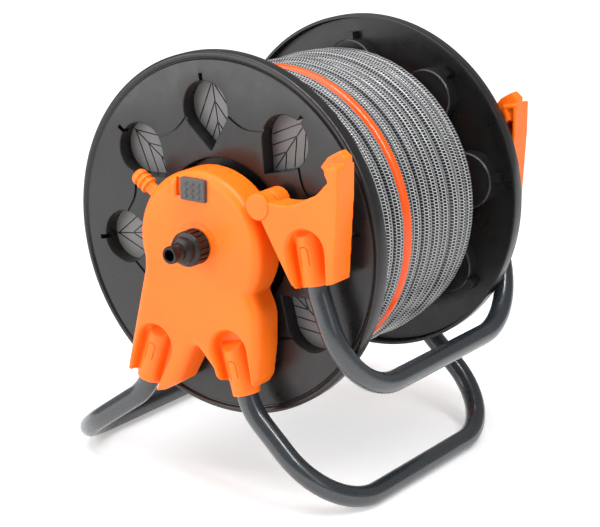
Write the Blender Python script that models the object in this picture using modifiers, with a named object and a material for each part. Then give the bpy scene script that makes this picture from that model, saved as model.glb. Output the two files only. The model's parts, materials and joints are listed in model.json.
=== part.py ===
"""Garden hose reel on a tubular stand, as an assembly of separate parts.

World frame: metres, +Z up, floor at z = 0, origin under the middle of the bounding box.
The drum turns about a line parallel to Y. The water inlet faces -Y (front), the crank +Y (rear).
Shapes are laid out around the drum's axis: x to the right, z up, and a depth measured outwards
from the drum's middle, which is -Y on the front side and +Y on the rear side.
"""

import math

import bmesh
import bpy
from mathutils import Matrix, Vector

# Where the drum's axis and middle stand over the base.
AXIS_X = 0.015
AXIS_Z = 0.246
MIDDLE_Y = -0.022

FRONT = -1
REAR = 1
GAP = 0.0003

# Drum.
FLANGE_RADIUS = 0.170
LIP_DEPTH_OUT = 0.128
LIP_DEPTH_IN = 0.114
FLANGE_WALL = 0.003
FLANGE_FACE = 0.127
RECESS_RADIUS = 0.0725
RECESS_FLOOR = 0.112
BUSH_RADIUS = 0.018
CORE_RADIUS = 0.0715
CORE_RING = 0.034
CORE_HALF = RECESS_FLOOR - FLANGE_WALL - GAP
LEAF_COUNT = 8
LEAF_START = math.radians(54.5)
LEAF_RADIUS = 0.025
LEAF_CENTRE = 0.118
LEAF_TIP = 0.079
LEAF_DEPTH = 0.0158
LEAF_WALL = 0.003
CUP_FLOOR = 0.0025
PACK_RADIUS = 0.144
PACK_INNER = 0.0722
PACK_HALF = 0.1065
PACK_STEP = 0.012
TAIL_DEPTH = 0.066
HOSE_END_RADIUS = 0.011
HOSE_END_HALF = 0.017
HOSE_END_DEPTH = 0.081
HOSE_END_ANGLE = math.radians(205)
SCREW_CIRCLE = 0.041
SCREWS_PER_FLANGE = 4
LOCK_HOLES = 8
LOCK_RADIUS = 0.054
LOCK_X = -0.004

# Brackets, at both ends of the drum.
FACE = 0.167
BRACKET_BACK = 0.133
WALL = 0.003
HUB_RADIUS = 0.068
TUBE_RADIUS = 0.010
TUBE_WALL = 0.0012
SOCKET_RADIUS = 0.013
TUBE_DEPTH = 0.150
POCKET_WIDTH = 0.0195
POCKET_FLOOR = 0.1515
PIVOT = (0.0675, 0.046)
EYE_RADIUS = 0.0122
CAP_RADIUS = 0.012
PIN_RADIUS = 0.005
EAR_DEPTH = 0.152
ARM_BACK = 0.141
BLADE_BACK = 0.1440
BLADE_FRONT = 0.1550

# Stand and handle tubes, as socket top, bend and corner in the front view.
RIGHT_FOOT = ((0.031, -0.097), (0.0465, -0.152), (0.1386, -0.236))
LEFT_FOOT = ((-0.0555, -0.0975), (-0.0755, -0.1575), (-0.185, -0.236))
HANDLE = ((0.1115, 0.024), (0.1216, -0.027), (0.158, -0.1216))
BEND_RADIUS = 0.058
CORNER_RADIUS = 0.072

# Middle of the arched recess around each tube's socket, in the front view, and the socket's length.
RECESS = {RIGHT_FOOT: (0.0335, -0.095), LEFT_FOOT: (-0.0525, -0.105), HANDLE: (0.1175, 0.013)}
SOCKET_LENGTH = {RIGHT_FOOT: 0.042, LEFT_FOOT: 0.049, HANDLE: 0.044}

# Water inlet and swivel.
AXLE_RADIUS = 0.012
AXLE_BORE = 0.006
INLET_END = 0.207
NUT_RADIUS = 0.0165
ELBOW_RADIUS = 0.0165

# Crank.
CRANK_REACH = 0.092
CRANK_ANGLE = math.radians(233)
SHAFT_RADIUS = 0.010
GRIP_RADIUS = 0.0135
GRIP_START = 0.184
GRIP_END = 0.251

ORANGE = (0.95, 0.22, 0.03)
BLACK = (0.018, 0.018, 0.020)
DARK = (0.035, 0.036, 0.040)
STEEL_GREY = (0.055, 0.065, 0.072)
GREY = (0.20, 0.21, 0.22)
HOSE = (0.45, 0.46, 0.47)
ZINC = (0.60, 0.61, 0.63)
RUBBER = (0.02, 0.02, 0.02)


def clear_scene():
    for item in list(bpy.data.objects):
        bpy.data.objects.remove(item, do_unlink=True)


def make_collection(name):
    collection = bpy.data.collections.new(name)
    bpy.context.scene.collection.children.link(collection)
    return collection


def material(name, colour, roughness, metallic=0.0):
    found = bpy.data.materials.get(name)
    if found:
        return found
    made = bpy.data.materials.new(name)
    made.use_nodes = True
    shader = made.node_tree.nodes["Principled BSDF"]
    shader.inputs["Base Color"].default_value = (*colour, 1.0)
    shader.inputs["Roughness"].default_value = roughness
    shader.inputs["Metallic"].default_value = metallic
    return made


def world(x, depth, z, side=FRONT):
    return Vector((AXIS_X + x, MIDDLE_Y + side * depth, AXIS_Z + z))


def add(name, mesh, collection, look=None):
    made = bpy.data.objects.new(name, mesh)
    collection.objects.link(made)
    if look:
        mesh.materials.clear()
        mesh.materials.append(look)
    return made


def helper(made):
    made.hide_render = True
    made.display_type = "WIRE"
    return made


def face_outwards(mesh):
    shape = bmesh.new()
    shape.from_mesh(mesh)
    bmesh.ops.remove_doubles(shape, verts=shape.verts, dist=1e-6)
    bmesh.ops.recalc_face_normals(shape, faces=shape.faces)
    if shape.calc_volume(signed=True) < 0:
        bmesh.ops.reverse_faces(shape, faces=shape.faces)
    shape.to_mesh(mesh)
    shape.free()


def baked(source, name, collection, look=None):
    """A mesh object of what the source object evaluates to, in world space."""
    bpy.context.view_layer.update()
    graph = bpy.context.evaluated_depsgraph_get()
    mesh = bpy.data.meshes.new_from_object(source.evaluated_get(graph))
    mesh.transform(source.matrix_world)
    face_outwards(mesh)
    bpy.data.objects.remove(source, do_unlink=True)
    mesh.name = name
    return add(name, mesh, collection, look)


def flatten(mesh):
    """Merges the triangles of each flat face into one face."""
    shape = bmesh.new()
    shape.from_mesh(mesh)
    bmesh.ops.dissolve_limit(shape, angle_limit=math.radians(0.1), verts=shape.verts, edges=shape.edges)
    shape.to_mesh(mesh)
    shape.free()


def arc(centre, radius, start, end, steps):
    turn = (end - start) / steps
    angles = [start + turn * step for step in range(steps + 1)]
    return [(centre[0] + radius * math.cos(a), centre[1] + radius * math.sin(a)) for a in angles]


def rounded(corners, steps=4):
    """A closed outline from (x, z, radius) corners, each rounded by an arc."""
    points = []
    count = len(corners)
    for index, (x, z, radius) in enumerate(corners):
        corner = Vector((x, z))
        if radius <= 0:
            points.append((x, z))
            continue
        before = Vector(corners[index - 1][:2]) - corner
        after = Vector(corners[(index + 1) % count][:2]) - corner
        half = before.angle(after) / 2
        reach = min(radius / math.tan(half), 0.49 * before.length, 0.49 * after.length)
        size = reach * math.tan(half)
        centre = corner + (before.normalized() + after.normalized()).normalized() * size / math.sin(half)
        first = corner + before.normalized() * reach - centre
        last = corner + after.normalized() * reach - centre
        sweep = first.angle_signed(last)
        for step in range(steps + 1):
            spoke = Matrix.Rotation(-sweep * step / steps, 2) @ first
            points.append(tuple(centre + spoke))
    return points


def plate(name, outline, depth_in, depth_out, side, collection, look=None):
    return plates(name, [outline], depth_in, depth_out, side, collection, look)


def plates(name, outlines, depth_in, depth_out, side, collection, look=None):
    """Flat outlines in the front view, as thick as the two depths say."""
    curve = bpy.data.curves.new(name, "CURVE")
    curve.dimensions = "2D"
    curve.fill_mode = "BOTH"
    curve.extrude = (depth_out - depth_in) / 2
    for outline in outlines:
        spline = curve.splines.new("POLY")
        spline.points.add(len(outline) - 1)
        for point, (x, z) in zip(spline.points, outline):
            point.co = (x, z, 0, 1)
        spline.use_cyclic_u = True
    made = add(name, curve, collection)
    made.location = world(0, (depth_in + depth_out) / 2, 0, side)
    made.rotation_euler = (math.pi / 2, 0, 0)
    solid = baked(made, name, collection, look)
    flatten(solid.data)
    return solid


def turned(name, profile, side, collection, look=None, steps=48, centre=(0, 0)):
    """A turned shape about a Y line, from (radius, depth) points in order around its section."""
    shape = bmesh.new()
    ring = [shape.verts.new((radius, -depth, 0)) for radius, depth in profile]
    closed = profile[0][0] > 0 and profile[-1][0] > 0
    for first, second in zip(ring, ring[1:] + ring[:1] if closed else ring[1:]):
        shape.edges.new((first, second))
    mesh = bpy.data.meshes.new(name)
    shape.to_mesh(mesh)
    shape.free()
    made = add(name, mesh, collection)
    screw = made.modifiers.new("turn", "SCREW")
    screw.axis = "Y"
    screw.steps = steps
    screw.render_steps = steps
    screw.use_merge_vertices = True
    screw.merge_threshold = 0.00001
    made.location = world(centre[0], 0, centre[1])
    if side == REAR:
        made.rotation_euler = (math.pi, 0, 0)
    return baked(made, name, collection, look)


def rod(name, start, end, radius, collection, look=None, sides=24, end_radius=None):
    """A cylinder or cone between two world points."""
    shape = bmesh.new()
    length = (end - start).length
    last = radius if end_radius is None else end_radius
    bmesh.ops.create_cone(
        shape, cap_ends=True, cap_tris=False, segments=sides, radius1=radius, radius2=last, depth=length
    )
    mesh = bpy.data.meshes.new(name)
    shape.to_mesh(mesh)
    shape.free()
    turn = (end - start).to_track_quat("Z", "Y").to_matrix().to_4x4()
    mesh.transform(Matrix.Translation((start + end) / 2) @ turn)
    return add(name, mesh, collection, look)


def block(name, low, high, side, collection, look=None, bevel=0.0):
    """A box between two (x, depth, z) corners."""
    shape = bmesh.new()
    bmesh.ops.create_cube(shape, size=1)
    corners = [world(*low, side), world(*high, side)]
    size = [abs(corners[1][axis] - corners[0][axis]) for axis in range(3)]
    bmesh.ops.scale(shape, vec=size, verts=shape.verts)
    bmesh.ops.translate(shape, vec=(corners[0] + corners[1]) / 2, verts=shape.verts)
    if bevel:
        bmesh.ops.bevel(shape, geom=shape.edges, offset=bevel, segments=2, affect="EDGES", profile=0.5)
    mesh = bpy.data.meshes.new(name)
    shape.to_mesh(mesh)
    shape.free()
    return add(name, mesh, collection, look)


def boolean(made, other, operation):
    helper(other)
    step = made.modifiers.new(operation.lower(), "BOOLEAN")
    step.operation = operation
    step.solver = "EXACT"
    step.object = other


def cut(made, other):
    boolean(made, other, "DIFFERENCE")


def join(made, other):
    boolean(made, other, "UNION")


def smooth(made, degrees=35):
    made.data.shade_smooth()
    made.data.set_sharp_from_angle(angle=math.radians(degrees))


def set_origin(made, point):
    made.data.transform(Matrix.Translation(-point))
    made.location = point


# ---------------------------------------------------------------- tubes


def filleted_path(corners, radii, steps):
    """World points along straight runs joined by arcs."""
    path = [corners[0]]
    for before, corner, after, radius in zip(corners, corners[1:], corners[2:], radii):
        to_before = (before - corner).normalized()
        to_after = (after - corner).normalized()
        half = to_before.angle(to_after) / 2
        reach = radius / math.tan(half)
        centre = corner + (to_before + to_after).normalized() * radius / math.sin(half)
        first = corner + to_before * reach - centre
        last = corner + to_after * reach - centre
        for step in range(steps + 1):
            path.append(centre + swung(first, last, step / steps))
    path.append(corners[-1])
    return path


def swung(first, last, share):
    """A spoke part of the way from the first to the last."""
    angle = first.angle(last)
    return (first * math.sin((1 - share) * angle) + last * math.sin(share * angle)) / math.sin(angle)


def bent_bar(name, view, radius, extra, collection, look=None):
    """A U of round section: two socket ends, two bends, two corners and a bar along Y."""
    top, bend, corner = (Vector(place) for place in view)
    top += (top - bend).normalized() * extra
    corners = [world(place.x, TUBE_DEPTH, place.y, FRONT) for place in (top, bend, corner)]
    corners += [world(place.x, TUBE_DEPTH, place.y, REAR) for place in (corner, bend, top)]
    path = filleted_path(corners, (BEND_RADIUS, CORNER_RADIUS, CORNER_RADIUS, BEND_RADIUS), 4)
    curve = bpy.data.curves.new(name, "CURVE")
    curve.dimensions = "3D"
    curve.bevel_depth = radius
    curve.bevel_resolution = 4
    curve.use_fill_caps = True
    spline = curve.splines.new("POLY")
    spline.points.add(len(path) - 1)
    for point, place in zip(spline.points, path):
        point.co = (*place, 1)
    return baked(add(name, curve, collection), name, collection, look)


def bent_tube(name, view, collection, helpers, look):
    """The bar, hollowed along its whole length."""
    made = bent_bar(name, view, TUBE_RADIUS, 0, collection, look)
    cut(made, bent_bar(name + "_inside", view, TUBE_RADIUS - TUBE_WALL, 0.001, helpers))
    smooth(made)
    return made


# ---------------------------------------------------------------- brackets and arms


def socket_direction(view):
    top, bend = Vector(view[0]), Vector(view[1])
    return (bend - top).normalized()


def pocket_outline(view, grow):
    """The arched recess around a tube socket: wide at the top, as wide as the socket at its mouth."""
    down = socket_direction(view)
    across = Vector((-down.y, down.x))
    mouth = Vector(view[0]) + down * (SOCKET_LENGTH[view] + 0.034)
    slim = across * (SOCKET_RADIUS + 0.001 + grow)
    start = math.atan2(across.y, across.x)
    arch = arc(RECESS[view], POCKET_WIDTH + grow, start, start + math.pi, 12)
    return arch + [tuple(mouth - slim), tuple(mouth + slim)]


def add_socket(made, view, side, outline, helpers, name):
    """A tube socket standing in its arched recess, bored for the tube."""
    down = socket_direction(view)
    top = Vector(view[0])
    mouth = top + down * SOCKET_LENGTH[view]
    tub = plate(name + "_tub", pocket_outline(view, WALL), POCKET_FLOOR - WALL, FACE - 0.002, side, helpers)
    edge = plate(name + "_tub_edge", outline, POCKET_FLOOR - 0.02, FACE + 0.01, side, helpers)
    boolean(tub, edge, "INTERSECT")
    join(made, tub)
    pocket = plate(name + "_pocket", pocket_outline(view, 0), POCKET_FLOOR, FACE + 0.003, side, helpers)
    cut(made, pocket)
    start = world(top.x - down.x * 0.004, TUBE_DEPTH, top.y - down.y * 0.004, side)
    end = world(mouth.x, TUBE_DEPTH, mouth.y, side)
    join(made, rod(name + "_sleeve", start, end, SOCKET_RADIUS, helpers, sides=20))
    cut(made, bent_bar(name + "_bore", view, TUBE_RADIUS + 0.0004, GAP, helpers))


def bracket_outline():
    """The hub's round top and two splayed legs, in the front view."""
    hub = arc((0, 0), HUB_RADIUS, math.radians(198), math.radians(-33.5), 24)
    legs = rounded(
        [
            (*hub[-1], 0),
            (0.0652, -0.0560, 0.030),
            (0.0650, -0.0900, 0.060),
            (0.0615, -0.1180, 0.012),
            (0.0560, -0.1270, 0.006),
            (0.0400, -0.1345, 0.004),
            (0.0285, -0.1310, 0.005),
            (-0.0065, -0.0960, 0.004),
            (-0.0290, -0.1390, 0.008),
            (-0.0480, -0.1510, 0.006),
            (-0.0665, -0.1470, 0.004),
            (-0.0855, -0.1350, 0.005),
            (-0.0875, -0.1290, 0.005),
            (-0.0646, -0.0320, 0.030),
            (*hub[0], 0),
        ],
        steps=2,
    )
    return hub[1:-1] + legs


def inset_outline(outline, inset):
    """The outline moved inwards; it runs clockwise or anticlockwise alike."""
    count = len(outline)
    following = outline[1:] + outline[:1]
    area = sum(here[0] * after[1] - after[0] * here[1] for here, after in zip(outline, following))
    turn = 1 if area > 0 else -1
    moved = []
    for index in range(count):
        before, here, after = (Vector(outline[(index + k) % count]) for k in (-1, 0, 1))
        along = (here - before).normalized() + (after - here).normalized()
        along.normalize()
        inward = Vector((-along.y, along.x)) * turn
        edge = (after - here).normalized()
        lean = max(0.5, inward.dot(Vector((-edge.y, edge.x)) * turn))
        moved.append(tuple(here + inward * inset / lean))
    return moved


def ear_outline():
    """The round end of the ear on the pivot, with a straight neck back into the hub."""
    pivot = Vector(PIVOT)
    lean = math.atan2(pivot.y, pivot.x)
    across = Vector((-math.sin(lean), math.cos(lean))) * EYE_RADIUS
    root = pivot.normalized() * (HUB_RADIUS - 0.009)
    tip = arc(PIVOT, EYE_RADIUS, lean - math.pi / 2, lean + math.pi / 2, 12)
    return tip + [tuple(root + across), tuple(root - across)]


def bracket(name, side, parts, helpers, look):
    outline = bracket_outline()
    made = plate(name, outline, BRACKET_BACK, FACE, side, parts, look)
    hollow = inset_outline(outline, WALL)
    cut(made, plate(name + "_hollow", hollow, BRACKET_BACK - 0.01, FACE - WALL, side, helpers))
    for view, tag in ((LEFT_FOOT, "_left"), (RIGHT_FOOT, "_right")):
        add_socket(made, view, side, outline, helpers, name + tag)
    # The handle pivot: an ear with a seat for the arm's eye.
    join(made, plate(name + "_ear", ear_outline(), BRACKET_BACK, EAR_DEPTH, side, helpers))
    seat = arc(PIVOT, EYE_RADIUS + 0.001, 0, math.tau, 24)[:-1]
    cut(made, plate(name + "_seat", seat, EAR_DEPTH, FACE + 0.003, side, helpers))
    pin_hole = arc(PIVOT, PIN_RADIUS + GAP, 0, math.tau, 20)[:-1]
    cut(made, plate(name + "_pin_hole", pin_hole, BRACKET_BACK + 0.003, FACE, side, helpers))
    return made


def front_bracket(parts, helpers, look):
    made = bracket("front_bracket", FRONT, parts, helpers, look)
    boss = arc((0, 0), 0.020, 0, math.tau, 28)[:-1]
    join(made, plate("axle_boss", boss, 0.150, FACE + 0.001, FRONT, helpers))
    bore = arc((0, 0), 0.0105 + GAP, 0, math.tau, 24)[:-1]
    cut(made, plate("axle_bore", bore, 0.140, FACE + 0.01, FRONT, helpers))
    # Slot of the lock slider, and the guide of its pin.
    slot_low, slot_high = (-0.0225, FACE - 0.0015, 0.0410), (0.0120, FACE + 0.005, 0.0625)
    cut(made, block("lock_slot", slot_low, slot_high, FRONT, helpers))
    window_low, window_high = (-0.0175, 0.155, 0.0490), (0.0055, FACE + 0.005, 0.0580)
    cut(made, block("lock_window", window_low, window_high, FRONT, helpers))
    guide = arc((LOCK_X, LOCK_RADIUS), 0.0075, 0, math.tau, 16)[:-1]
    rib_left, rib_right = LOCK_X - 0.002, LOCK_X + 0.002
    rib = [(rib_left, LOCK_RADIUS), (rib_right, LOCK_RADIUS), (rib_right, 0.067), (rib_left, 0.067)]
    join(made, plate("lock_guide", guide, 0.136, 0.148, FRONT, helpers))
    join(made, plate("lock_guide_rib", rib, 0.137, 0.146, FRONT, helpers))
    hole = arc((LOCK_X, LOCK_RADIUS), 0.0045 + GAP, 0, math.tau, 16)[:-1]
    cut(made, plate("lock_guide_hole", hole, 0.130, 0.155, FRONT, helpers))
    return made


def rear_bracket(parts, helpers, look):
    made = bracket("rear_bracket", REAR, parts, helpers, look)
    boss = arc((0, 0), 0.021, 0, math.tau, 28)[:-1]
    join(made, plate("bush_boss", boss, 0.140, FACE + 0.001, REAR, helpers))
    bore = arc((0, 0), 0.015 + GAP, 0, math.tau, 28)[:-1]
    cut(made, plate("bush_bore", bore, 0.130, FACE + 0.01, REAR, helpers))
    return made


def arm_outline():
    """The handle arm in the front view: eye, hook and the socket's end."""
    eye = arc(PIVOT, EYE_RADIUS, math.radians(285), math.radians(25), 12)
    rest = rounded(
        [
            (*eye[-1], 0),
            (0.0900, 0.0510, 0.020),
            (0.1030, 0.0525, 0.040),
            (0.1290, 0.0655, 0.015),
            (0.1410, 0.0785, 0.002),
            (0.1372, 0.0850, 0.002),
            (0.1375, 0.0905, 0.001),
            (0.1517, 0.0935, 0.001),
            (0.1517, 0.0640, 0),
            (0.1479, -0.0105, 0.002),
            (0.1066, -0.0250, 0.003),
            (0.0885, 0.0045, 0.050),
            (*eye[0], 0),
        ],
        steps=2,
    )
    return eye[1:-1] + rest


ARM_HOLLOW = (
    (0.0772, 0.0324),
    (0.0918, 0.0053),
    (0.1100, -0.0186),
    (0.1450, -0.0086),
    (0.1487, 0.0640),
    (0.1487, 0.0900),
    (0.1407, 0.0880),
    (0.1443, 0.0775),
    (0.1302, 0.0627),
    (0.1034, 0.0494),
    (0.0890, 0.0478),
)

HOOK_BLADE = (
    (0.1257, 0.0874),
    (0.1285, 0.0860),
    (0.1310, 0.0800),
    (0.1400, 0.0760),
    (0.1517, 0.0760),
    (0.1517, 0.0990),
    (0.1449, 0.1043),
    (0.1334, 0.0973),
)


def handle_arm(name, side, parts, helpers, look):
    """A hollow arm: a skin over its outer side, an eye on the pivot, a hook and a tube socket."""
    made = plate(name, arm_outline(), ARM_BACK, FACE, side, parts, look)
    cut(made, plate(name + "_hollow", ARM_HOLLOW, ARM_BACK - 0.005, FACE - WALL, side, helpers))
    join(made, plate(name + "_blade", HOOK_BLADE, BLADE_BACK, BLADE_FRONT, side, helpers))
    add_socket(made, HANDLE, side, arm_outline(), helpers, name + "_socket")
    # Room for the bracket's ear and its hub, then the eye plate on the pin.
    clear = arc(PIVOT, EYE_RADIUS + 0.0015, 0, math.tau, 28)[:-1]
    cut(made, plate(name + "_ear_room", clear, 0.130, EAR_DEPTH + 0.001, side, helpers))
    eye = arc(PIVOT, EYE_RADIUS - 0.0005, 0, math.tau, 28)[:-1]
    join(made, plate(name + "_eye", eye, EAR_DEPTH + 0.001, FACE - 0.002, side, helpers))
    hub = arc((0, 0), HUB_RADIUS + 0.001, 0, math.tau, 40)[:-1]
    cut(made, plate(name + "_hub_room", hub, 0.130, FACE + 0.01, side, helpers))
    hole = arc(PIVOT, PIN_RADIUS + 0.0004, 0, math.tau, 20)[:-1]
    cut(made, plate(name + "_pin_hole", hole, 0.130, FACE + 0.01, side, helpers))
    cap_seat = arc(PIVOT, CAP_RADIUS + 0.0005, 0, math.tau, 28)[:-1]
    cut(made, plate(name + "_cap_seat", cap_seat, FACE - 0.003, FACE + 0.01, side, helpers))
    set_origin(made, world(PIVOT[0], FACE, PIVOT[1], side))
    return made


def pivot_pin(name, side, parts, look):
    profile = [
        (0, BRACKET_BACK + 0.004),
        (PIN_RADIUS, BRACKET_BACK + 0.004),
        (PIN_RADIUS, FACE - 0.0025),
        (CAP_RADIUS, FACE - 0.0025),
        (CAP_RADIUS, FACE + 0.0002),
        (CAP_RADIUS - 0.0008, FACE + 0.001),
        (0, FACE + 0.001),
    ]
    made = turned(name, profile, side, parts, look, steps=20, centre=PIVOT)
    smooth(made)
    return made


# ---------------------------------------------------------------- drum


def leaf_outline(angle, grow):
    """A teardrop: round end outwards, point towards the axis."""
    radius = LEAF_RADIUS + grow
    spread = math.acos(LEAF_RADIUS / (LEAF_CENTRE - LEAF_TIP))
    out = Vector((math.cos(angle), math.sin(angle)))
    centre = out * LEAF_CENTRE
    tip = out * (LEAF_CENTRE - radius / math.cos(spread))
    start = angle + math.pi + spread
    return [tuple(tip)] + arc(centre, radius, start, start + math.tau - 2 * spread, 9)


def lock_holes():
    """Holes for the lock pin, one of them in front of the pin at rest."""
    reach = math.hypot(LOCK_X, LOCK_RADIUS)
    start = math.atan2(LOCK_RADIUS, LOCK_X)
    angles = [start + index * math.tau / LOCK_HOLES for index in range(LOCK_HOLES)]
    centres = [(reach * math.cos(angle), reach * math.sin(angle)) for angle in angles]
    return [arc(centre, 0.0065, 0, math.tau, 8)[:-1] for centre in centres]


def flange(name, side, parts, helpers, look):
    """A dished disc with a deep rim, eight leaf pockets and a hollow around the hub."""
    inner = LIP_DEPTH_IN
    profile = [
        (FLANGE_RADIUS - 0.0006, inner),
        (FLANGE_RADIUS, inner + 0.001),
        (FLANGE_RADIUS, LIP_DEPTH_OUT - 0.003),
        (FLANGE_RADIUS - 0.0025, LIP_DEPTH_OUT),
        (FLANGE_RADIUS - 0.006, LIP_DEPTH_OUT),
        (FLANGE_RADIUS - 0.008, FLANGE_FACE),
        (RECESS_RADIUS + 0.001, FLANGE_FACE),
        (RECESS_RADIUS, FLANGE_FACE - 0.001),
        (RECESS_RADIUS, RECESS_FLOOR),
        (BUSH_RADIUS + GAP, RECESS_FLOOR),
        (BUSH_RADIUS + GAP, RECESS_FLOOR - FLANGE_WALL),
        (RECESS_RADIUS + FLANGE_WALL, RECESS_FLOOR - FLANGE_WALL),
        (RECESS_RADIUS + FLANGE_WALL, FLANGE_FACE - FLANGE_WALL),
        (FLANGE_RADIUS - 0.003, FLANGE_FACE - FLANGE_WALL),
        (FLANGE_RADIUS - 0.0026, inner),
    ]
    made = turned(name, profile, side, parts, look, steps=48)
    angles = [LEAF_START + index * math.tau / LEAF_COUNT for index in range(LEAF_COUNT)]
    floor = FLANGE_FACE - LEAF_DEPTH
    cups = [leaf_outline(angle, LEAF_WALL) for angle in angles]
    join(made, plates(name + "_cups", cups, floor - CUP_FLOOR, FLANGE_FACE - 0.0015, side, helpers))
    pockets = [leaf_outline(angle, 0) for angle in angles]
    cut(made, plates(name + "_pockets", pockets, floor, FLANGE_FACE + 0.01, side, helpers))
    if side == FRONT:
        cut(made, plates("lock_holes", lock_holes(), 0.100, 0.120, side, helpers))
    smooth(made, 30)
    return made


def drum_core(parts, helpers, look):
    profile = [
        (CORE_RADIUS, -CORE_HALF),
        (CORE_RADIUS, CORE_HALF),
        (CORE_RING, CORE_HALF),
        (CORE_RING, CORE_HALF - WALL),
        (CORE_RADIUS - WALL, CORE_HALF - WALL),
        (CORE_RADIUS - WALL, WALL - CORE_HALF),
        (CORE_RING, WALL - CORE_HALF),
        (CORE_RING, -CORE_HALF),
    ]
    made = turned("drum_core", profile, FRONT, parts, look, steps=40)
    inside, outside = world(0, TAIL_DEPTH, -0.050), world(0, TAIL_DEPTH, -0.080)
    cut(made, rod("tail_opening", inside, outside, 0.0125, helpers, sides=20))
    smooth(made)
    return made


def hose_winding(parts, look):
    """The outer shape of the whole wound hose."""
    profile = [
        (PACK_RADIUS - PACK_STEP, -PACK_HALF),
        (PACK_RADIUS, -PACK_HALF + PACK_STEP),
        (PACK_RADIUS, PACK_HALF - PACK_STEP),
        (PACK_RADIUS - PACK_STEP, PACK_HALF),
        (PACK_INNER, PACK_HALF),
        (PACK_INNER, -PACK_HALF),
    ]
    made = turned("hose_winding", profile, FRONT, parts, look, steps=44)
    smooth(made, 25)
    return made


def flange_screws(parts, look):
    for side, tag in ((FRONT, "front"), (REAR, "rear")):
        for index in range(SCREWS_PER_FLANGE):
            angle = math.radians(20 + 90 * index)
            place = (SCREW_CIRCLE * math.cos(angle), SCREW_CIRCLE * math.sin(angle))
            profile = [
                (0, RECESS_FLOOR + GAP),
                (0.0042, RECESS_FLOOR + GAP),
                (0.0042, RECESS_FLOOR + 0.0016),
                (0.0028, RECESS_FLOOR + 0.0030),
                (0, RECESS_FLOOR + 0.0030),
            ]
            name = f"{tag}_flange_screw_{index + 1}"
            made = turned(name, profile, side, parts, look, steps=10, centre=place)
            smooth(made)


def bush(name, inner, outer, start, end, side, parts, look):
    profile = [(outer, start), (outer, end), (inner, end), (inner, start)]
    made = turned(name, profile, side, parts, look, steps=20)
    smooth(made)
    return made


# ---------------------------------------------------------------- water path


def water_axle(parts, look):
    """The fixed tube that the drum turns on, with a collar behind the bracket and two ring grooves."""
    profile = [
        (AXLE_RADIUS, 0.0835),
        (AXLE_RADIUS, 0.0855),
        (0.0098, 0.0855),
        (0.0098, 0.0885),
        (AXLE_RADIUS, 0.0885),
        (AXLE_RADIUS, 0.0905),
        (0.0098, 0.0905),
        (0.0098, 0.0935),
        (AXLE_RADIUS, 0.0935),
        (AXLE_RADIUS, 0.1270),
        (0.0180, 0.1270),
        (0.0180, 0.1300),
        (AXLE_RADIUS + 0.001, 0.1300),
        (AXLE_RADIUS + 0.001, 0.1497),
        (0.0105, 0.1497),
        (0.0105, 0.1800),
        (AXLE_BORE, 0.1800),
        (AXLE_BORE, 0.0835),
    ]
    made = turned("water_axle", profile, FRONT, parts, look, steps=20)
    smooth(made)
    return made


def o_ring(name, depth, parts, look):
    shape = arc((0.0109, depth), 0.0010, 0, math.tau, 6)[:-1]
    made = turned(name, shape, FRONT, parts, look, steps=18)
    smooth(made, 60)
    return made


def inlet_adapter(parts, look):
    """A ribbed nut and a quick-connect nipple in one piece."""
    profile = [
        (0.0110, FACE + 0.0013),
        (NUT_RADIUS, FACE + 0.0013),
        (NUT_RADIUS, FACE + 0.0170),
        (0.0150, FACE + 0.0190),
        (0.0122, FACE + 0.0195),
        (0.0122, FACE + 0.0235),
        (0.0105, FACE + 0.0245),
        (0.0082, FACE + 0.0250),
        (0.0082, FACE + 0.0300),
        (0.0074, FACE + 0.0310),
        (0.0074, FACE + 0.0335),
        (0.0082, FACE + 0.0345),
        (0.0082, FACE + 0.0385),
        (0.0074, INLET_END),
        (0.0052, INLET_END),
        (0.0052, 0.1865),
        (0.0110, 0.1865),
    ]
    made = turned("inlet_adapter", profile, FRONT, parts, look, steps=20)
    smooth(made)
    return made


def drum_elbow(parts, helpers, look):
    """The turning half of the swivel: a sleeve over the axle's end, with a branch for the hose."""
    profile = [
        (0, 0.050),
        (ELBOW_RADIUS, 0.050),
        (ELBOW_RADIUS, 0.0947),
        (AXLE_RADIUS + 0.0003, 0.0947),
        (AXLE_RADIUS + 0.0003, 0.0780),
        (0.0060, 0.0780),
        (0.0060, 0.0580),
        (0, 0.0580),
    ]
    made = turned("drum_elbow", profile, FRONT, parts, look, steps=32)
    middle, start = world(0, TAIL_DEPTH, 0), world(0, TAIL_DEPTH, -0.008)
    end, past_end = world(0, TAIL_DEPTH, -0.028), world(0, TAIL_DEPTH, -0.035)
    join(made, rod("elbow_branch", start, end, 0.0095, helpers, sides=20))
    cut(made, rod("elbow_way", middle, past_end, 0.0050, helpers, sides=16))
    smooth(made)
    return made


def hose_tail(parts, helpers, look):
    """The coupling between the swivel's branch and the hose, through the core's opening."""
    start, end = world(0, TAIL_DEPTH, -0.0283), world(0, TAIL_DEPTH, -0.0705)
    inside, outside = world(0, TAIL_DEPTH, -0.020), world(0, TAIL_DEPTH, -0.080)
    made = rod("hose_tail_connector", start, end, 0.0115, parts, look, sides=20)
    cut(made, rod("tail_way", inside, outside, 0.0048, helpers, sides=16))
    smooth(made)
    return made


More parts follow.
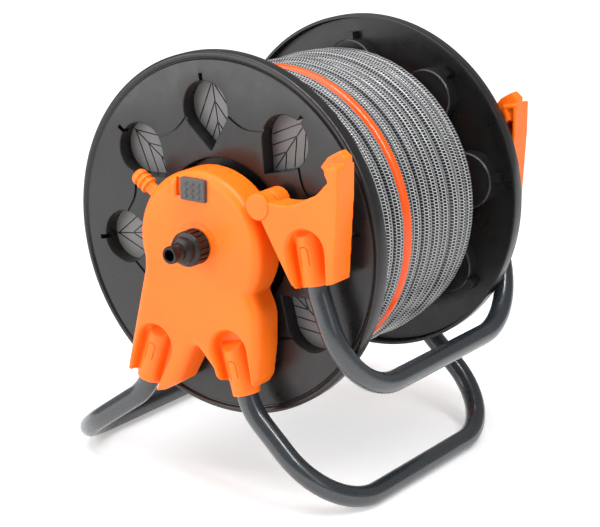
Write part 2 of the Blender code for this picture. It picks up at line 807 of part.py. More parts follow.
def hose_end(parts, look):
    """The connector on the hose's free end, lying along the outermost turn."""
    reach = PACK_RADIUS + HOSE_END_RADIUS + 0.0007
    profile = [
        (0, -HOSE_END_HALF),
        (0.0090, -HOSE_END_HALF),
        (0.0095, -0.004),
        (HOSE_END_RADIUS, -0.003),
        (HOSE_END_RADIUS, 0.006),
        (0.0095, 0.008),
        (0.0088, HOSE_END_HALF),
        (0.0060, HOSE_END_HALF),
        (0.0060, 0.004),
        (0, 0.004),
    ]
    made = turned("hose_end_connector", profile, REAR, parts, look, steps=20)
    made.data.transform(Matrix.Translation(-world(0, 0, 0)))
    made.data.transform(Matrix.Rotation(math.pi / 2, 4, "Z"))
    made.data.transform(Matrix.Rotation(math.pi / 2 - HOSE_END_ANGLE, 4, "Y"))
    face_outwards(made.data)
    place = world(reach * math.cos(HOSE_END_ANGLE), HOSE_END_DEPTH, reach * math.sin(HOSE_END_ANGLE), REAR)
    made.data.transform(Matrix.Translation(place))
    smooth(made)
    return made


# ---------------------------------------------------------------- lock


def lock_slider(parts, helpers, look):
    """A thumb slider with nine raised dots."""
    low, high = (-0.0155, FACE - 0.0012, 0.0415), (0.0115, FACE + 0.0035, 0.0620)
    made = block("drum_lock_slider", low, high, FRONT, parts, look, 0.0008)
    low, high = (-0.0100, FACE - 0.008, 0.0500), (0.0045, FACE, 0.0570)
    join(made, block("slider_tongue", low, high, FRONT, helpers))
    for column in range(3):
        for row in range(3):
            x = -0.0020 + (column - 1) * 0.0075
            z = 0.05175 + (row - 1) * 0.0058
            foot, top = world(x, FACE + 0.0030, z), world(x, FACE + 0.0044, z)
            join(made, rod(f"slider_dot_{column}_{row}", foot, top, 0.0014, helpers, sides=8))
    return made


def lock_pin(parts, look):
    profile = [(0, 0.1145), (0.0035, 0.1145), (0.0042, 0.1155), (0.0042, 0.1570), (0, 0.1570)]
    made = turned("drum_lock_pin", profile, FRONT, parts, look, steps=16, centre=(LOCK_X, LOCK_RADIUS))
    smooth(made)
    return made


# ---------------------------------------------------------------- spigot and crank


def parking_spigot(parts, look):
    """A ringed spigot on the bracket's shoulder, for parking the nozzle."""
    angle = math.radians(148)
    out = Vector((math.cos(angle), math.sin(angle)))
    neck, ring = 0.0068, 0.0085
    profile = [(0, 0), (neck, 0), (neck, 0.0100)]
    for start in (0.0115, 0.0175):
        profile += [(ring, start), (ring, start + 0.0020), (neck, start + 0.0030), (neck, start + 0.0050)]
    profile += [(0.0080, 0.0235), (0.0080, 0.0265), (neck, 0.0285), (0, 0.0285)]
    made = turned("parking_spigot", profile, FRONT, parts, look, steps=20)
    made.data.transform(Matrix.Translation(-world(0, 0, 0)))
    made.data.transform(Matrix.Rotation(-math.pi / 2, 4, "X"))
    made.data.transform(Matrix.Rotation(math.pi / 2 - angle, 4, "Y"))
    face_outwards(made.data)
    start = HUB_RADIUS + 0.0004
    made.data.transform(Matrix.Translation(world(out.x * start, TUBE_DEPTH, out.y * start)))
    smooth(made)
    return made


def crank(parts, helpers, looks):
    out = Vector((math.cos(CRANK_ANGLE), math.sin(CRANK_ANGLE)))
    end = tuple(out * CRANK_REACH)
    shaft_profile = [
        (0, CORE_HALF - 0.004),
        (0.030, CORE_HALF - 0.004),
        (0.030, CORE_HALF),
        (BUSH_RADIUS, CORE_HALF),
        (BUSH_RADIUS, RECESS_FLOOR + 0.0035),
        (SHAFT_RADIUS, RECESS_FLOOR + 0.0035),
        (SHAFT_RADIUS, 0.1790),
        (0, 0.1790),
    ]
    shaft = turned("crank_shaft", shaft_profile, REAR, parts, looks["black"], steps=32)
    smooth(shaft)
    hub = arc((0, 0), 0.019, CRANK_ANGLE + math.pi / 2, CRANK_ANGLE + 3 * math.pi / 2, 14)
    head = arc(end, 0.0125, CRANK_ANGLE - math.pi / 2, CRANK_ANGLE + math.pi / 2, 10)
    arm = plate("crank_arm", hub + head, 0.1705, 0.1805, REAR, parts, looks["black"])
    bore = arc((0, 0), SHAFT_RADIUS + GAP, 0, math.tau, 32)[:-1]
    cut(arm, plate("crank_bore", bore, 0.16, 0.1793, REAR, helpers))
    pin_hole = arc(end, 0.004 + GAP, 0, math.tau, 16)[:-1]
    cut(arm, plate("crank_pin_hole", pin_hole, 0.16, 0.19, REAR, helpers))
    smooth(arm, 30)
    pin_profile = [
        (0, 0.1680), (0.0075, 0.1680), (0.0075, 0.1702), (0.004, 0.1702), (0.004, 0.2440), (0, 0.2440),
    ]
    pin = turned("crank_grip_pin", pin_profile, REAR, parts, looks["zinc"], steps=16, centre=end)
    smooth(pin)
    grip_profile = [
        (0, 0.2445),
        (0.0045, 0.2445),
        (0.0045, GRIP_START),
        (0.0105, GRIP_START),
        (GRIP_RADIUS, GRIP_START + 0.006),
        (GRIP_RADIUS - 0.002, 0.205),
        (GRIP_RADIUS - 0.002, 0.222),
        (GRIP_RADIUS, 0.240),
        (GRIP_RADIUS - 0.003, GRIP_END - 0.003),
        (0.007, GRIP_END),
        (0, GRIP_END),
    ]
    grip = turned("crank_grip", grip_profile, REAR, parts, looks["black"], steps=20, centre=end)
    smooth(grip, 50)
    set_origin(grip, world(end[0], GRIP_START, end[1], REAR))
    screw_profile = [(0, 0.1808), (0.006, 0.1808), (0.006, 0.1826), (0.004, 0.1840), (0, 0.1840)]
    screw = turned("crank_screw", screw_profile, REAR, parts, looks["zinc"], steps=16)
    smooth(screw)


def main():
    clear_scene()
    parts = make_collection("garden_hose_reel")
    helpers = make_collection("cutters")
    looks = {
        "orange": material("orange_plastic", ORANGE, 0.38),
        "black": material("black_plastic", BLACK, 0.35),
        "flange": material("flange_plastic", DARK, 0.42),
        "tube": material("coated_tube", STEEL_GREY, 0.30),
        "grey": material("grey_plastic", GREY, 0.5),
        "hose": material("braided_hose", HOSE, 0.25),
        "zinc": material("zinc_steel", ZINC, 0.35, 1.0),
        "rubber": material("seal_rubber", RUBBER, 0.6),
    }
    front_bracket(parts, helpers, looks["orange"])
    rear_bracket(parts, helpers, looks["orange"])
    bent_tube("left_foot_tube", LEFT_FOOT, parts, helpers, looks["tube"])
    bent_tube("right_foot_tube", RIGHT_FOOT, parts, helpers, looks["tube"])
    handle = bent_tube("handle_tube", HANDLE, parts, helpers, looks["tube"])
    set_origin(handle, world(PIVOT[0], 0, PIVOT[1]))
    handle_arm("front_handle_arm", FRONT, parts, helpers, looks["orange"])
    handle_arm("rear_handle_arm", REAR, parts, helpers, looks["orange"])
    pivot_pin("front_pivot_pin", FRONT, parts, looks["orange"])
    pivot_pin("rear_pivot_pin", REAR, parts, looks["orange"])
    flange("front_flange", FRONT, parts, helpers, looks["flange"])
    flange("rear_flange", REAR, parts, helpers, looks["flange"])
    drum_core(parts, helpers, looks["black"])
    hose_winding(parts, looks["hose"])
    flange_screws(parts, looks["zinc"])
    bush("front_drum_bush", AXLE_RADIUS + GAP, BUSH_RADIUS - GAP, 0.0952, 0.1150, FRONT, parts, looks["grey"])
    bush("rear_bracket_bush", SHAFT_RADIUS + GAP, 0.015 - GAP, 0.1300, 0.1660, REAR, parts, looks["grey"])
    water_axle(parts, looks["black"])
    o_ring("axle_o_ring_inner", 0.0870, parts, looks["rubber"])
    o_ring("axle_o_ring_outer", 0.0920, parts, looks["rubber"])
    inlet_adapter(parts, looks["black"])
    bush("inlet_washer", 0.0065, 0.0105, 0.1803, 0.1862, FRONT, parts, looks["rubber"])
    drum_elbow(parts, helpers, looks["black"])
    hose_tail(parts, helpers, looks["grey"])
    hose_end(parts, looks["grey"])
    lock_slider(parts, helpers, looks["grey"])
    lock_pin(parts, looks["grey"])
    parking_spigot(parts, looks["orange"])
    crank(parts, helpers, looks)


main()
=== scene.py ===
"""Garden hose reel: the finished look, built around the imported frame.

Shapes are laid out around the drum's axis: x to the right, z up, and a depth measured outwards
from the drum's middle, which is -Y on the front side and +Y on the rear side. Metres throughout.
"""

import json
import math
from math import cos, pi, radians, sin, tau

import bmesh
import bpy
from mathutils import Matrix, Vector
from mathutils.geometry import intersect_line_line_2d

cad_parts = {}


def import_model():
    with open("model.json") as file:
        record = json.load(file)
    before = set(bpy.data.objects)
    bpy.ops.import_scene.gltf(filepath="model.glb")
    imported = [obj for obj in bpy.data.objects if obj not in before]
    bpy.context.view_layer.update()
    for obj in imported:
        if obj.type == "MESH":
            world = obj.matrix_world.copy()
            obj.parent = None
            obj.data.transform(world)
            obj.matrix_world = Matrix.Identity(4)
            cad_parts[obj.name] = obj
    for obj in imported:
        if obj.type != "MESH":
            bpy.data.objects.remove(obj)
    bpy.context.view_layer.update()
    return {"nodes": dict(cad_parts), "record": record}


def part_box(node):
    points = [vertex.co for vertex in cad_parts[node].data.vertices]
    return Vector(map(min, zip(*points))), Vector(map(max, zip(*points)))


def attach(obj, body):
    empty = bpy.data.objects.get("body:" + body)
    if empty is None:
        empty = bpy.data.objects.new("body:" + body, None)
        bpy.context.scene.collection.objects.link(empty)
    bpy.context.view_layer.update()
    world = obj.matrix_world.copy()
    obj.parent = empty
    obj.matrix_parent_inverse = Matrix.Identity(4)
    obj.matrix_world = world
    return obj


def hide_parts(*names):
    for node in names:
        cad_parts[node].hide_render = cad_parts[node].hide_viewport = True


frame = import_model()

FRONT = -1
REAR = 1

flange_low, flange_high = (Vector(corner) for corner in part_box("front_flange"))
REAR_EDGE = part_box("rear_flange")[1][1]
AXIS_X = (flange_low.x + flange_high.x) / 2
AXIS_Z = (flange_low.z + flange_high.z) / 2
MIDDLE_Y = (flange_low.y + REAR_EDGE) / 2
FLANGE_RADIUS = (flange_high.x - flange_low.x) / 2

# The drum.
LIP_DEPTH_OUT = 0.128
LIP_DEPTH_IN = 0.114
BEAD = 0.003
FLANGE_FACE = 0.127
FLANGE_WALL = 0.003
RECESS_RADIUS = 0.0725
RECESS_FLOOR = 0.112
BORE_RADIUS = 0.0183
LEAF_COUNT = 8
LEAF_START = radians(54.5)
LEAF_RADIUS = 0.025
LEAF_CENTRE = 0.118
LEAF_TIP = 0.079
LEAF_STEM = 0.15
LEAF_DEPTH = 0.0158
LEAF_WALL = 0.003
CUP_FLOOR = 0.0025

# The hose.
HOSE_DIAMETER = 0.0158
HOSE_PITCH = 0.0163
LAYER_STEP = 0.0138
OUTER_LAYER = 0.136
LAYER_TURNS = (11, 12, 13, 12, 11.8)
LAYER_START = (2, 11.5, 0, 11.5, 0)
FIRST_TURN = -0.0978
HOSE_START = radians(270)
STEP_START = 0.74
STEP_WIDTH = 0.18
END_RISE = 0.0206
END_ANGLE = radians(205)
END_DEPTH = 0.081
END_RADIUS = 0.011
END_HALF = 0.017
TURN_POINTS = 60
HOSE_SIDES = 16
BRAID_CELL = 0.0029
BRAID_COLUMNS = 12
CLIMB_TURNS = 0.3

# Brackets and handle arms.
FACE = 0.167
BRACKET_BACK = 0.133
WALL = 0.003
HUB_RADIUS = 0.068
TUBE_RADIUS = 0.01
SOCKET_RADIUS = 0.013
TUBE_DEPTH = 0.15
POCKET_WIDTH = 0.0195
POCKET_FLOOR = 0.1515
PIVOT = (0.0675, 0.046)
EYE_RADIUS = 0.0122
CAP_RADIUS = 0.012
PIN_RADIUS = 0.005
EAR_DEPTH = 0.152
ARM_BACK = 0.141
EDGE_ROUND = 0.0095
BLADE_BACK = 0.144
BLADE_FRONT = 0.155
HUB_VOXEL = 0.00105
ARM_VOXEL = 0.0008
SLIT_RADIUS = 0.004
SLIT_HALF = 0.00035
RIGHT_FOOT = ((0.031, -0.097), (0.0465, -0.152), (0.1386, -0.236))
LEFT_FOOT = ((-0.0555, -0.0975), (-0.0755, -0.1575), (-0.185, -0.236))
HANDLE = ((0.1115, 0.024), (0.1216, -0.027), (0.158, -0.1216))
RECESS = {RIGHT_FOOT: (0.0335, -0.095), LEFT_FOOT: (-0.0525, -0.105), HANDLE: (0.1175, 0.013)}
SOCKET_LENGTH = {RIGHT_FOOT: 0.042, LEFT_FOOT: 0.049, HANDLE: 0.044}
BEND_RADIUS = 0.058
CORNER_RADIUS = 0.072

# Inlet, spigot and crank.
AXLE_HOLE = 0.0108
BUSH_HOLE = 0.0153
SPIGOT_ANGLE = radians(148)
INLET_END = 0.207
CRANK_REACH = 0.092
CRANK_ANGLE = radians(233)
GRIP_RADIUS = 0.0135
GRIP_START = 0.184
GRIP_END = 0.251

# The drum's lock.
LOCK_PIN = (-0.004, 0.054)
LOCK_HOLES = 8

# Grooves that hang between the leaves.
FESTOON_GAP = radians(11.4)
FESTOON_REACH = 0.114
FESTOON_SAG = 0.0078
FESTOON_HALF = 0.0014
FESTOON_DEPTH = 0.0018

# The camera, and how far left of and below the drum's middle it aims.
VIEW_AZIMUTH = radians(35)
VIEW_ELEVATION = radians(16.63)
VIEW_DISTANCE = 1.8911
VIEW_LENS = 117.6
VIEW_LEFT = 0.00306
VIEW_DOWN = 0.05525

FLOOR_LEVEL = -0.0004


# ---------------------------------------------------------------- small tools


def world(x, depth, z, side=FRONT):
    return Vector((AXIS_X + x, MIDDLE_Y + side * depth, AXIS_Z + z))


def heading(angle):
    return Vector((cos(angle), sin(angle)))


def add(name, mesh):
    made = bpy.data.objects.new(name, mesh)
    bpy.context.scene.collection.objects.link(made)
    return made


def built(name, verts, faces):
    """A closed mesh object from points and faces, its faces turned outwards."""
    mesh = bpy.data.meshes.new(name)
    mesh.from_pydata([tuple(v) for v in verts], [], faces)
    shape = bmesh.new()
    shape.from_mesh(mesh)
    bmesh.ops.recalc_face_normals(shape, faces=shape.faces)
    if shape.calc_volume(signed=True) < 0:
        bmesh.ops.reverse_faces(shape, faces=shape.faces)
    shape.to_mesh(mesh)
    shape.free()
    return add(name, mesh)


def arc(centre, radius, start, end, steps):
    angles = [start + (end - start) * step / steps for step in range(steps + 1)]
    return [(centre[0] + radius * cos(a), centre[1] + radius * sin(a)) for a in angles]


def circle(centre, radius, steps=48):
    return arc(centre, radius, 0, tau, steps)[:-1]


def rounded(corners, steps=6):
    """A closed outline from (x, z, radius) corners, each rounded by an arc."""
    points = []
    count = len(corners)
    for index, (x, z, radius) in enumerate(corners):
        corner = Vector((x, z))
        if radius <= 0:
            points.append((x, z))
            continue
        before = Vector(corners[index - 1][:2]) - corner
        after = Vector(corners[(index + 1) % count][:2]) - corner
        half = before.angle(after) / 2
        reach = min(radius / math.tan(half), 0.49 * before.length, 0.49 * after.length)
        size = reach * math.tan(half)
        centre = corner + (before.normalized() + after.normalized()).normalized() * size / sin(half)
        first = corner + before.normalized() * reach - centre
        last = corner + after.normalized() * reach - centre
        sweep = first.angle_signed(last)
        for step in range(steps + 1):
            points.append(tuple(centre + Matrix.Rotation(-sweep * step / steps, 2) @ first))
    return points


def signed_area(outline):
    following = outline[1:] + outline[:1]
    return sum(a[0] * b[1] - b[0] * a[1] for a, b in zip(outline, following)) / 2


def inset(outline, amount):
    """The outline moved inwards by an amount, or outwards where it is negative."""
    count = len(outline)
    turn = 1 if signed_area(outline) > 0 else -1
    moved = []
    for index in range(count):
        before, here, after = (Vector(outline[(index + k) % count]) for k in (-1, 0, 1))
        edge = (after - here).normalized()
        along = ((here - before).normalized() + edge).normalized()
        inward = Vector((-along.y, along.x)) * turn
        lean = max(0.5, inward.dot(Vector((-edge.y, edge.x)) * turn))
        moved.append(tuple(here + inward * amount / lean))
    return moved


def stacked(name, outline, rings, side=FRONT):
    """A solid whose section is the outline, inset by each ring's amount at that ring's depth."""
    count = len(outline)
    verts = []
    for amount, depth in rings:
        verts += [world(x, depth, z, side) for x, z in (inset(outline, amount) if amount else outline)]
    faces = []
    for ring in range(len(rings) - 1):
        for k in range(count):
            a, b = ring * count + k, ring * count + (k + 1) % count
            faces.append((a, b, b + count, a + count))
    last = (len(rings) - 1) * count
    faces.append(tuple(range(count)))
    faces.append(tuple(range(last, last + count)))
    return built(name, verts, faces)


def plate(name, outline, depth_in, depth_out, side=FRONT):
    return stacked(name, outline, [(0, depth_in), (0, depth_out)], side)


def crowned(outline, depth_in, depth_out, radius, side, name, steps=6):
    """A plate with a rounded edge around its outer face."""
    rings = [(0, depth_in)]
    for step in range(steps + 1):
        turn = pi / 2 * step / steps
        rings.append((radius * (1 - cos(turn)), depth_out - radius * (1 - sin(turn))))
    return stacked(name, outline, rings, side)


def lathe(name, profile, side=FRONT, steps=96, centre=(0, 0), shape=None):
    """A turned solid about a Y line from (radius, depth) points; shape may vary the radius by angle.

    A profile that starts and ends on the line closes there, and any other closes on itself.
    """
    poles = [radius <= 0 for radius, depth in profile]
    rows, verts = [], []
    for (radius, depth), pole in zip(profile, poles):
        if pole:
            rows.append([len(verts)] * steps)
            verts.append(world(centre[0], depth, centre[1], side))
            continue
        rows.append(list(range(len(verts), len(verts) + steps)))
        for k in range(steps):
            angle = tau * k / steps
            r = shape(radius, depth, angle) if shape else radius
            verts.append(world(centre[0] + r * cos(angle), depth, centre[1] + r * sin(angle), side))
    pairs = list(zip(rows, rows[1:]))
    if not poles[0] and not poles[-1]:
        pairs.append((rows[-1], rows[0]))
    faces = []
    for first, second in pairs:
        for k in range(steps):
            corners = (first[k], first[(k + 1) % steps], second[(k + 1) % steps], second[k])
            faces.append(tuple(dict.fromkeys(corners)))
    return built(name, verts, [face for face in faces if len(face) > 2])


def rod(name, start, end, radius, sides):
    """A round bar between two world points."""
    along = (end - start).normalized()
    across = along.orthogonal().normalized()
    up = along.cross(across)
    verts = []
    for place in (start, end):
        for k in range(sides):
            turn = tau * k / sides
            verts.append(place + (across * cos(turn) + up * sin(turn)) * radius)
    faces = [(k, (k + 1) % sides, sides + (k + 1) % sides, sides + k) for k in range(sides)]
    faces += [tuple(range(sides)), tuple(range(sides, 2 * sides))]
    return built(name, verts, faces)


def corners_of(low, high):
    (x0, z0), (x1, z1) = low, high
    return [(x0, z0), (x1, z0), (x1, z1), (x0, z1)]


def block(name, low, high):
    """A box on the front side between two (x, depth, z) corners."""
    return plate(name, corners_of(low[::2], high[::2]), low[1], high[1])


def soft_box(low, high, radius, steps):
    """The outline of a rectangle with rounded corners."""
    return rounded([(x, z, radius) for x, z in corners_of(low, high)], steps)


def place_turned(made, turn, place):
    """Moves a piece made around the drum's middle to its own place and direction."""
    made.data.transform(Matrix.Translation(place) @ turn @ Matrix.Translation(-world(0, 0, 0)))


def settle(made):
    """Applies the object's modifiers."""
    bpy.context.view_layer.update()
    graph = bpy.context.evaluated_depsgraph_get()
    mesh = bpy.data.meshes.new_from_object(made.evaluated_get(graph))
    made.modifiers.clear()
    made.data = mesh


def combine(made, others, operation):
    """Joins or cuts an object by others, which are used up."""
    for other in others:
        step = made.modifiers.new("shape", "BOOLEAN")
        step.operation = operation
        step.solver = "MANIFOLD"
        step.object = other
        settle(made)
        bpy.data.objects.remove(other, do_unlink=True)


def join(made, *others):
    combine(made, others, "UNION")


def cut(made, *others):
    combine(made, others, "DIFFERENCE")


def mould(made, voxel, rounds):
    """Turns a sharp solid into one skin with softly rounded edges, as moulding leaves them."""
    skin = made.modifiers.new("skin", "REMESH")
    skin.mode = "VOXEL"
    skin.voxel_size = voxel
    soft = made.modifiers.new("soft", "SMOOTH")
    soft.factor = 0.5
    soft.iterations = rounds
    light = made.modifiers.new("light", "DECIMATE")
    light.ratio = 0.5
    settle(made)


def smooth(made, degrees=35):
    made.data.shade_smooth()
    made.data.set_sharp_from_angle(angle=radians(degrees))


def done(made, body, look, slot, *nodes, degrees=35):
    """The last step of each piece: its shading, material, body and the nodes it stands for."""
    smooth(made, degrees)
    if look:
        made.data.materials.clear()
        made.data.materials.append(look)
    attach(made, body)
    if nodes:
        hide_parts(*nodes)
    return made


# ---------------------------------------------------------------- materials


class Look:
    """A node material in the making."""

    def __init__(self, name):
        self.material = bpy.data.materials.new(name)
        self.material.use_nodes = True
        self.tree = self.material.node_tree
        self.shader = self.tree.nodes["Principled BSDF"]

    def set(self, **values):
        for key, value in values.items():
            self.shader.inputs[key.replace("_", " ")].default_value = value
        return self

    def node(self, kind, **values):
        made = self.tree.nodes.new(kind)
        for key, value in values.items():
            if key in made.inputs:
                made.inputs[key].default_value = value
            else:
                setattr(made, key, value)
        return made

    def link(self, source, target):
        self.tree.links.new(source, target)

    def noise(self, scale, detail=3.0):
        place = self.node("ShaderNodeTexCoord")
        made = self.node("ShaderNodeTexNoise", Scale=scale, Detail=detail)
        self.link(place.outputs["Object"], made.inputs["Vector"])
        return made.outputs["Fac"]

    def ramp(self, source, low, high, stops):
        """Maps a value between two limits to a colour run or, with numbers, to a grey one."""
        made = self.node("ShaderNodeValToRGB")
        made.color_ramp.elements[0].position = low
        made.color_ramp.elements[1].position = high
        for element, colour in zip(made.color_ramp.elements, stops):
            element.color = (*colour, 1) if hasattr(colour, "__len__") else (colour, colour, colour, 1)
        self.link(source, made.inputs["Fac"])
        return made.outputs["Color"]

    def colour(self, scale, deep, light, detail=2):
        """Lets the colour drift between two shades."""
        shade = self.ramp(self.noise(scale, detail), 0.3, 0.7, (deep, light))
        self.link(shade, self.shader.inputs["Base Color"])

    def roughness(self, scale, low, high):
        self.link(self.ramp(self.noise(scale), 0.3, 0.7, (low, high)), self.shader.inputs["Roughness"])

    def maths(self, operation, first, second=None):
        made = self.node("ShaderNodeMath", operation=operation)
        for value, entry in ((first, made.inputs[0]), (second, made.inputs[1])):
            if value is None:
                continue
            if hasattr(value, "is_linked"):
                self.link(value, entry)
            else:
                entry.default_value = value
        return made.outputs[0]

    def ridge(self, source):
        """Falls from a half at each whole number to nothing midway."""
        part = self.maths("FRACT", self.maths("ADD", source, 4000.0))
        return self.maths("ABSOLUTE", self.maths("SUBTRACT", part, 0.5))

    def bump(self, height, strength, distance, under=None):
        made = self.node("ShaderNodeBump", Strength=strength, Distance=distance)
        self.link(height, made.inputs["Height"])
        if under:
            self.link(under, made.inputs["Normal"])
        self.link(made.outputs["Normal"], self.shader.inputs["Normal"])
        return made.outputs["Normal"]


# Colour, deeper colour, roughness, strength of the grain and specular level of each plastic.
PLASTICS = {
    "orange_plastic": ((0.98, 0.165, 0.006), (0.94, 0.145, 0.004), 0.42, 0.25, 0.32),
    "black_plastic": ((0.009, 0.0075, 0.0073), (0.006, 0.005, 0.005), 0.3, 0.2, 0.34),
    "flange_plastic": ((0.0115, 0.0108, 0.0105), (0.008, 0.0074, 0.0072), 0.31, 0.2, 0.42),
    "leaf_plastic": ((0.165, 0.165, 0.165), (0.135, 0.135, 0.135), 0.5, 0.6, 0.5),
    "grey_plastic": ((0.06, 0.057, 0.055), (0.046, 0.044, 0.043), 0.46, 0.6, 0.5),
    "seal_rubber": ((0.014, 0.014, 0.014), (0.009, 0.009, 0.009), 0.62, 0.5, 0.5),
}
GLOSS_SPREAD = 0.06


def plastic(name, colour, deep, roughness, grain, gloss):
    """Moulded plastic: slow drifts of shade, a fine grain and slightly uneven gloss."""
    look = Look(name)
    look.colour(14, deep, colour)
    look.roughness(70, roughness - GLOSS_SPREAD, roughness + GLOSS_SPREAD)
    wave = look.bump(look.noise(22, 1), 0.1, 0.0012)
    look.bump(look.noise(2600, 2), grain, 0.00006, wave)
    return look.set(Specular_IOR_Level=gloss)


def coated_tube():
    """Powder coat: a dark blue-grey gloss over a faint orange peel."""
    look = Look("coated_tube")
    look.colour(9, (0.017, 0.021, 0.025), (0.023, 0.028, 0.032))
    look.roughness(90, 0.24, 0.32)
    look.bump(look.noise(420, 2), 0.22, 0.00025)
    return look.set(Coat_Weight=0.5, Coat_Roughness=0.12)


def zinc_steel():
    look = Look("zinc_steel")
    look.colour(160, (0.5, 0.51, 0.53), (0.66, 0.67, 0.69), detail=3.0)
    look.roughness(300, 0.26, 0.42)
    return look.set(Metallic=1.0)


def braided_hose():
    """Clear glossy hose: white crossing threads over a dark inside, and one orange stripe along it.

    In the map called hose, U is the length in metres and V the share of the way round, counted from
    the stripe. In the map called side, U is 1 on the outer crest of a turn and 0 on the side of the
    next layer, where little light reaches; the threads are darkened towards that side as painted
    shade.
    """
    look = Look("braided_hose")
    split = look.node("ShaderNodeSeparateXYZ")
    look.link(look.node("ShaderNodeUVMap", uv_map="hose").outputs["UV"], split.inputs["Vector"])
    column = look.maths("MULTIPLY", split.outputs["Y"], BRAID_COLUMNS)
    stagger = look.maths("MULTIPLY", look.maths("FLOOR", column), 0.5)
    lean = look.maths("MULTIPLY", column, 0.22)
    row = look.maths("DIVIDE", split.outputs["X"], BRAID_CELL)
    row = look.maths("ADD", look.maths("ADD", row, stagger), lean)
    chain = look.ramp(look.ridge(column), 0.37, 0.45, (0.0, 0.75))
    link = look.ramp(look.ridge(row), 0.36, 0.44, (0.0, 1.0))
    threads = look.maths("MAXIMUM", chain, link)
    around = look.node("ShaderNodeSeparateXYZ")
    look.link(look.node("ShaderNodeUVMap", uv_map="side").outputs["UV"], around.inputs["Vector"])
    # Painted shade: the threads fall to a tenth of their brightness towards the sides of each turn, where
    # the turns shade each other.
    painted_shade = look.ramp(around.outputs["X"], 0.5, 0.92, (0.1, 1.0))
    shown = look.maths("MULTIPLY", threads, painted_shade)
    braid = look.ramp(shown, 0.0, 1.0, ((0.004, 0.005, 0.006), (0.5, 0.5, 0.505)))
    turn = look.maths("SUBTRACT", 0.5, look.ridge(split.outputs["Y"]))
    stripe = look.ramp(turn, 0.092, 0.098, (1.0, 0.0))
    mix = look.node("ShaderNodeMix", data_type="RGBA")
    look.link(stripe, mix.inputs["Factor"])
    look.link(braid, mix.inputs[6])
    mix.inputs[7].default_value = (0.8, 0.078, 0.003, 1)
    look.link(mix.outputs[2], look.shader.inputs["Base Color"])
    look.roughness(60, 0.3, 0.42)
    look.bump(threads, 0.12, 0.0003)
    return look.set(Specular_IOR_Level=0.12, Coat_Weight=0.6, Coat_Roughness=0.06, Coat_IOR=1.5)


def all_looks():
    """The materials by name; each but the leaves' is also named after its slot in the record."""
    looks = {name: plastic(name, *values) for name, values in PLASTICS.items()}
    orange = looks["orange_plastic"]
    orange.set(Subsurface_Weight=0.04, Subsurface_Radius=(0.004, 0.0015, 0.0008), Subsurface_Scale=1.0)
    looks.update(coated_tube=coated_tube(), zinc_steel=zinc_steel(), braided_hose=braided_hose())
    return {name: look.material for name, look in looks.items()}


def pale_glowing_floor():
    look = Look("pale_glowing_floor")
    look.colour(3, (0.86, 0.86, 0.86), (0.9, 0.9, 0.9))
    # Painted light: the floor glows, weakly near its centre under the reel and strongly further out,
    # brightening the far floor and what the reel's gloss reflects.
    reach = look.node("ShaderNodeVectorMath", operation="LENGTH")
    look.link(look.node("ShaderNodeTexCoord").outputs["Object"], reach.inputs[0])
    away = look.maths("MULTIPLY", reach.outputs["Value"], 0.25)
    look.link(look.ramp(away, 0.22, 0.62, (0.36, 0.9)), look.shader.inputs["Emission Strength"])
    return look.set(Roughness=0.9, Emission_Color=(1, 1, 1, 1)).material


# ---------------------------------------------------------------- camera


def set_camera():
    """Looks down on the reel from the front right."""
    level = cos(VIEW_ELEVATION)
    towards = Vector(
        (sin(VIEW_AZIMUTH) * level, -cos(VIEW_AZIMUTH) * level, sin(VIEW_ELEVATION))
    )
    right = Vector((cos(VIEW_AZIMUTH), sin(VIEW_AZIMUTH), 0))
    up = right.cross(-towards)
    data = bpy.data.cameras.new("camera")
    data.lens = VIEW_LENS
    data.sensor_width = 36
    data.sensor_fit = "HORIZONTAL"
    data.clip_end = 20
    camera = add("camera", data)
    camera.location = world(0, 0, 0) - right * VIEW_LEFT - up * VIEW_DOWN + towards * VIEW_DISTANCE
    camera.rotation_euler = (-towards).to_track_quat("-Z", "Y").to_euler()
    bpy.context.scene.camera = camera


# ---------------------------------------------------------------- hose


def ease(share):
    share = min(1.0, max(0.0, share))
    return share * share * (3 - 2 * share)


def stepped(turns):
    """Whole turns that stay level and move on within a short stretch on the far side."""
    whole = math.floor(turns)
    return whole + ease((turns - whole - STEP_START) / STEP_WIDTH)


# Where the stripe faces on each turn of the outer layer, front to rear, from outwards towards the rear.
STRIPE_TURNS = (-62, -150, -200, -290, -395, -530, -560, -520, -550, -520, -500, -450)


def stripe_angle(turn):
    level = min(max(turn, 0), len(STRIPE_TURNS) - 1)
    low = int(level)
    high = min(low + 1, len(STRIPE_TURNS) - 1)
    return radians(STRIPE_TURNS[low] + (STRIPE_TURNS[high] - STRIPE_TURNS[low]) * (level - low))


def hose_line():
    """Centre points and stripe angles of the whole wound hose, from the barrel outwards.

    Each layer runs the other way from the one below and lies in its grooves.
    """
    points, stripes = [], []
    for layer, turns in enumerate(LAYER_TURNS):
        outer = layer == len(LAYER_TURNS) - 1
        radius = OUTER_LAYER - LAYER_STEP * (len(LAYER_TURNS) - 1 - layer)
        for k in range(round(turns * TURN_POINTS)):
            turn = k / TURN_POINTS
            row = min(stepped(turn), math.ceil(turns) - 1)
            climb = ease((turn - (turns - CLIMB_TURNS)) / CLIMB_TURNS)
            place = LAYER_START[layer] + (row if layer % 2 == 0 else -row)
            angle = HOSE_START + tau * turn
            reach = radius + climb * (END_RISE if outer else LAYER_STEP)
            if outer:
                # The top layer lies a little unevenly, and its last turns sink between those below.
                reach += 0.0009 * sin(2.2 * place + 0.4) + 0.0005 * sin(2.0 * angle + place)
                reach -= 0.0022 * max(0.0, place - 10)
            else:
                place -= 0.5 * climb
            wander = 0.00035 * sin(1.7 * place + 2.3 * angle) + 0.0002 * sin(5.1 * place)
            depth = FIRST_TURN + HOSE_PITCH * place + wander
            points.append(world(reach * cos(angle), depth, reach * sin(angle), REAR))
            stripes.append(stripe_angle(place) if outer else radians(37 * layer) + 0.4 * turn)
    return points, stripes


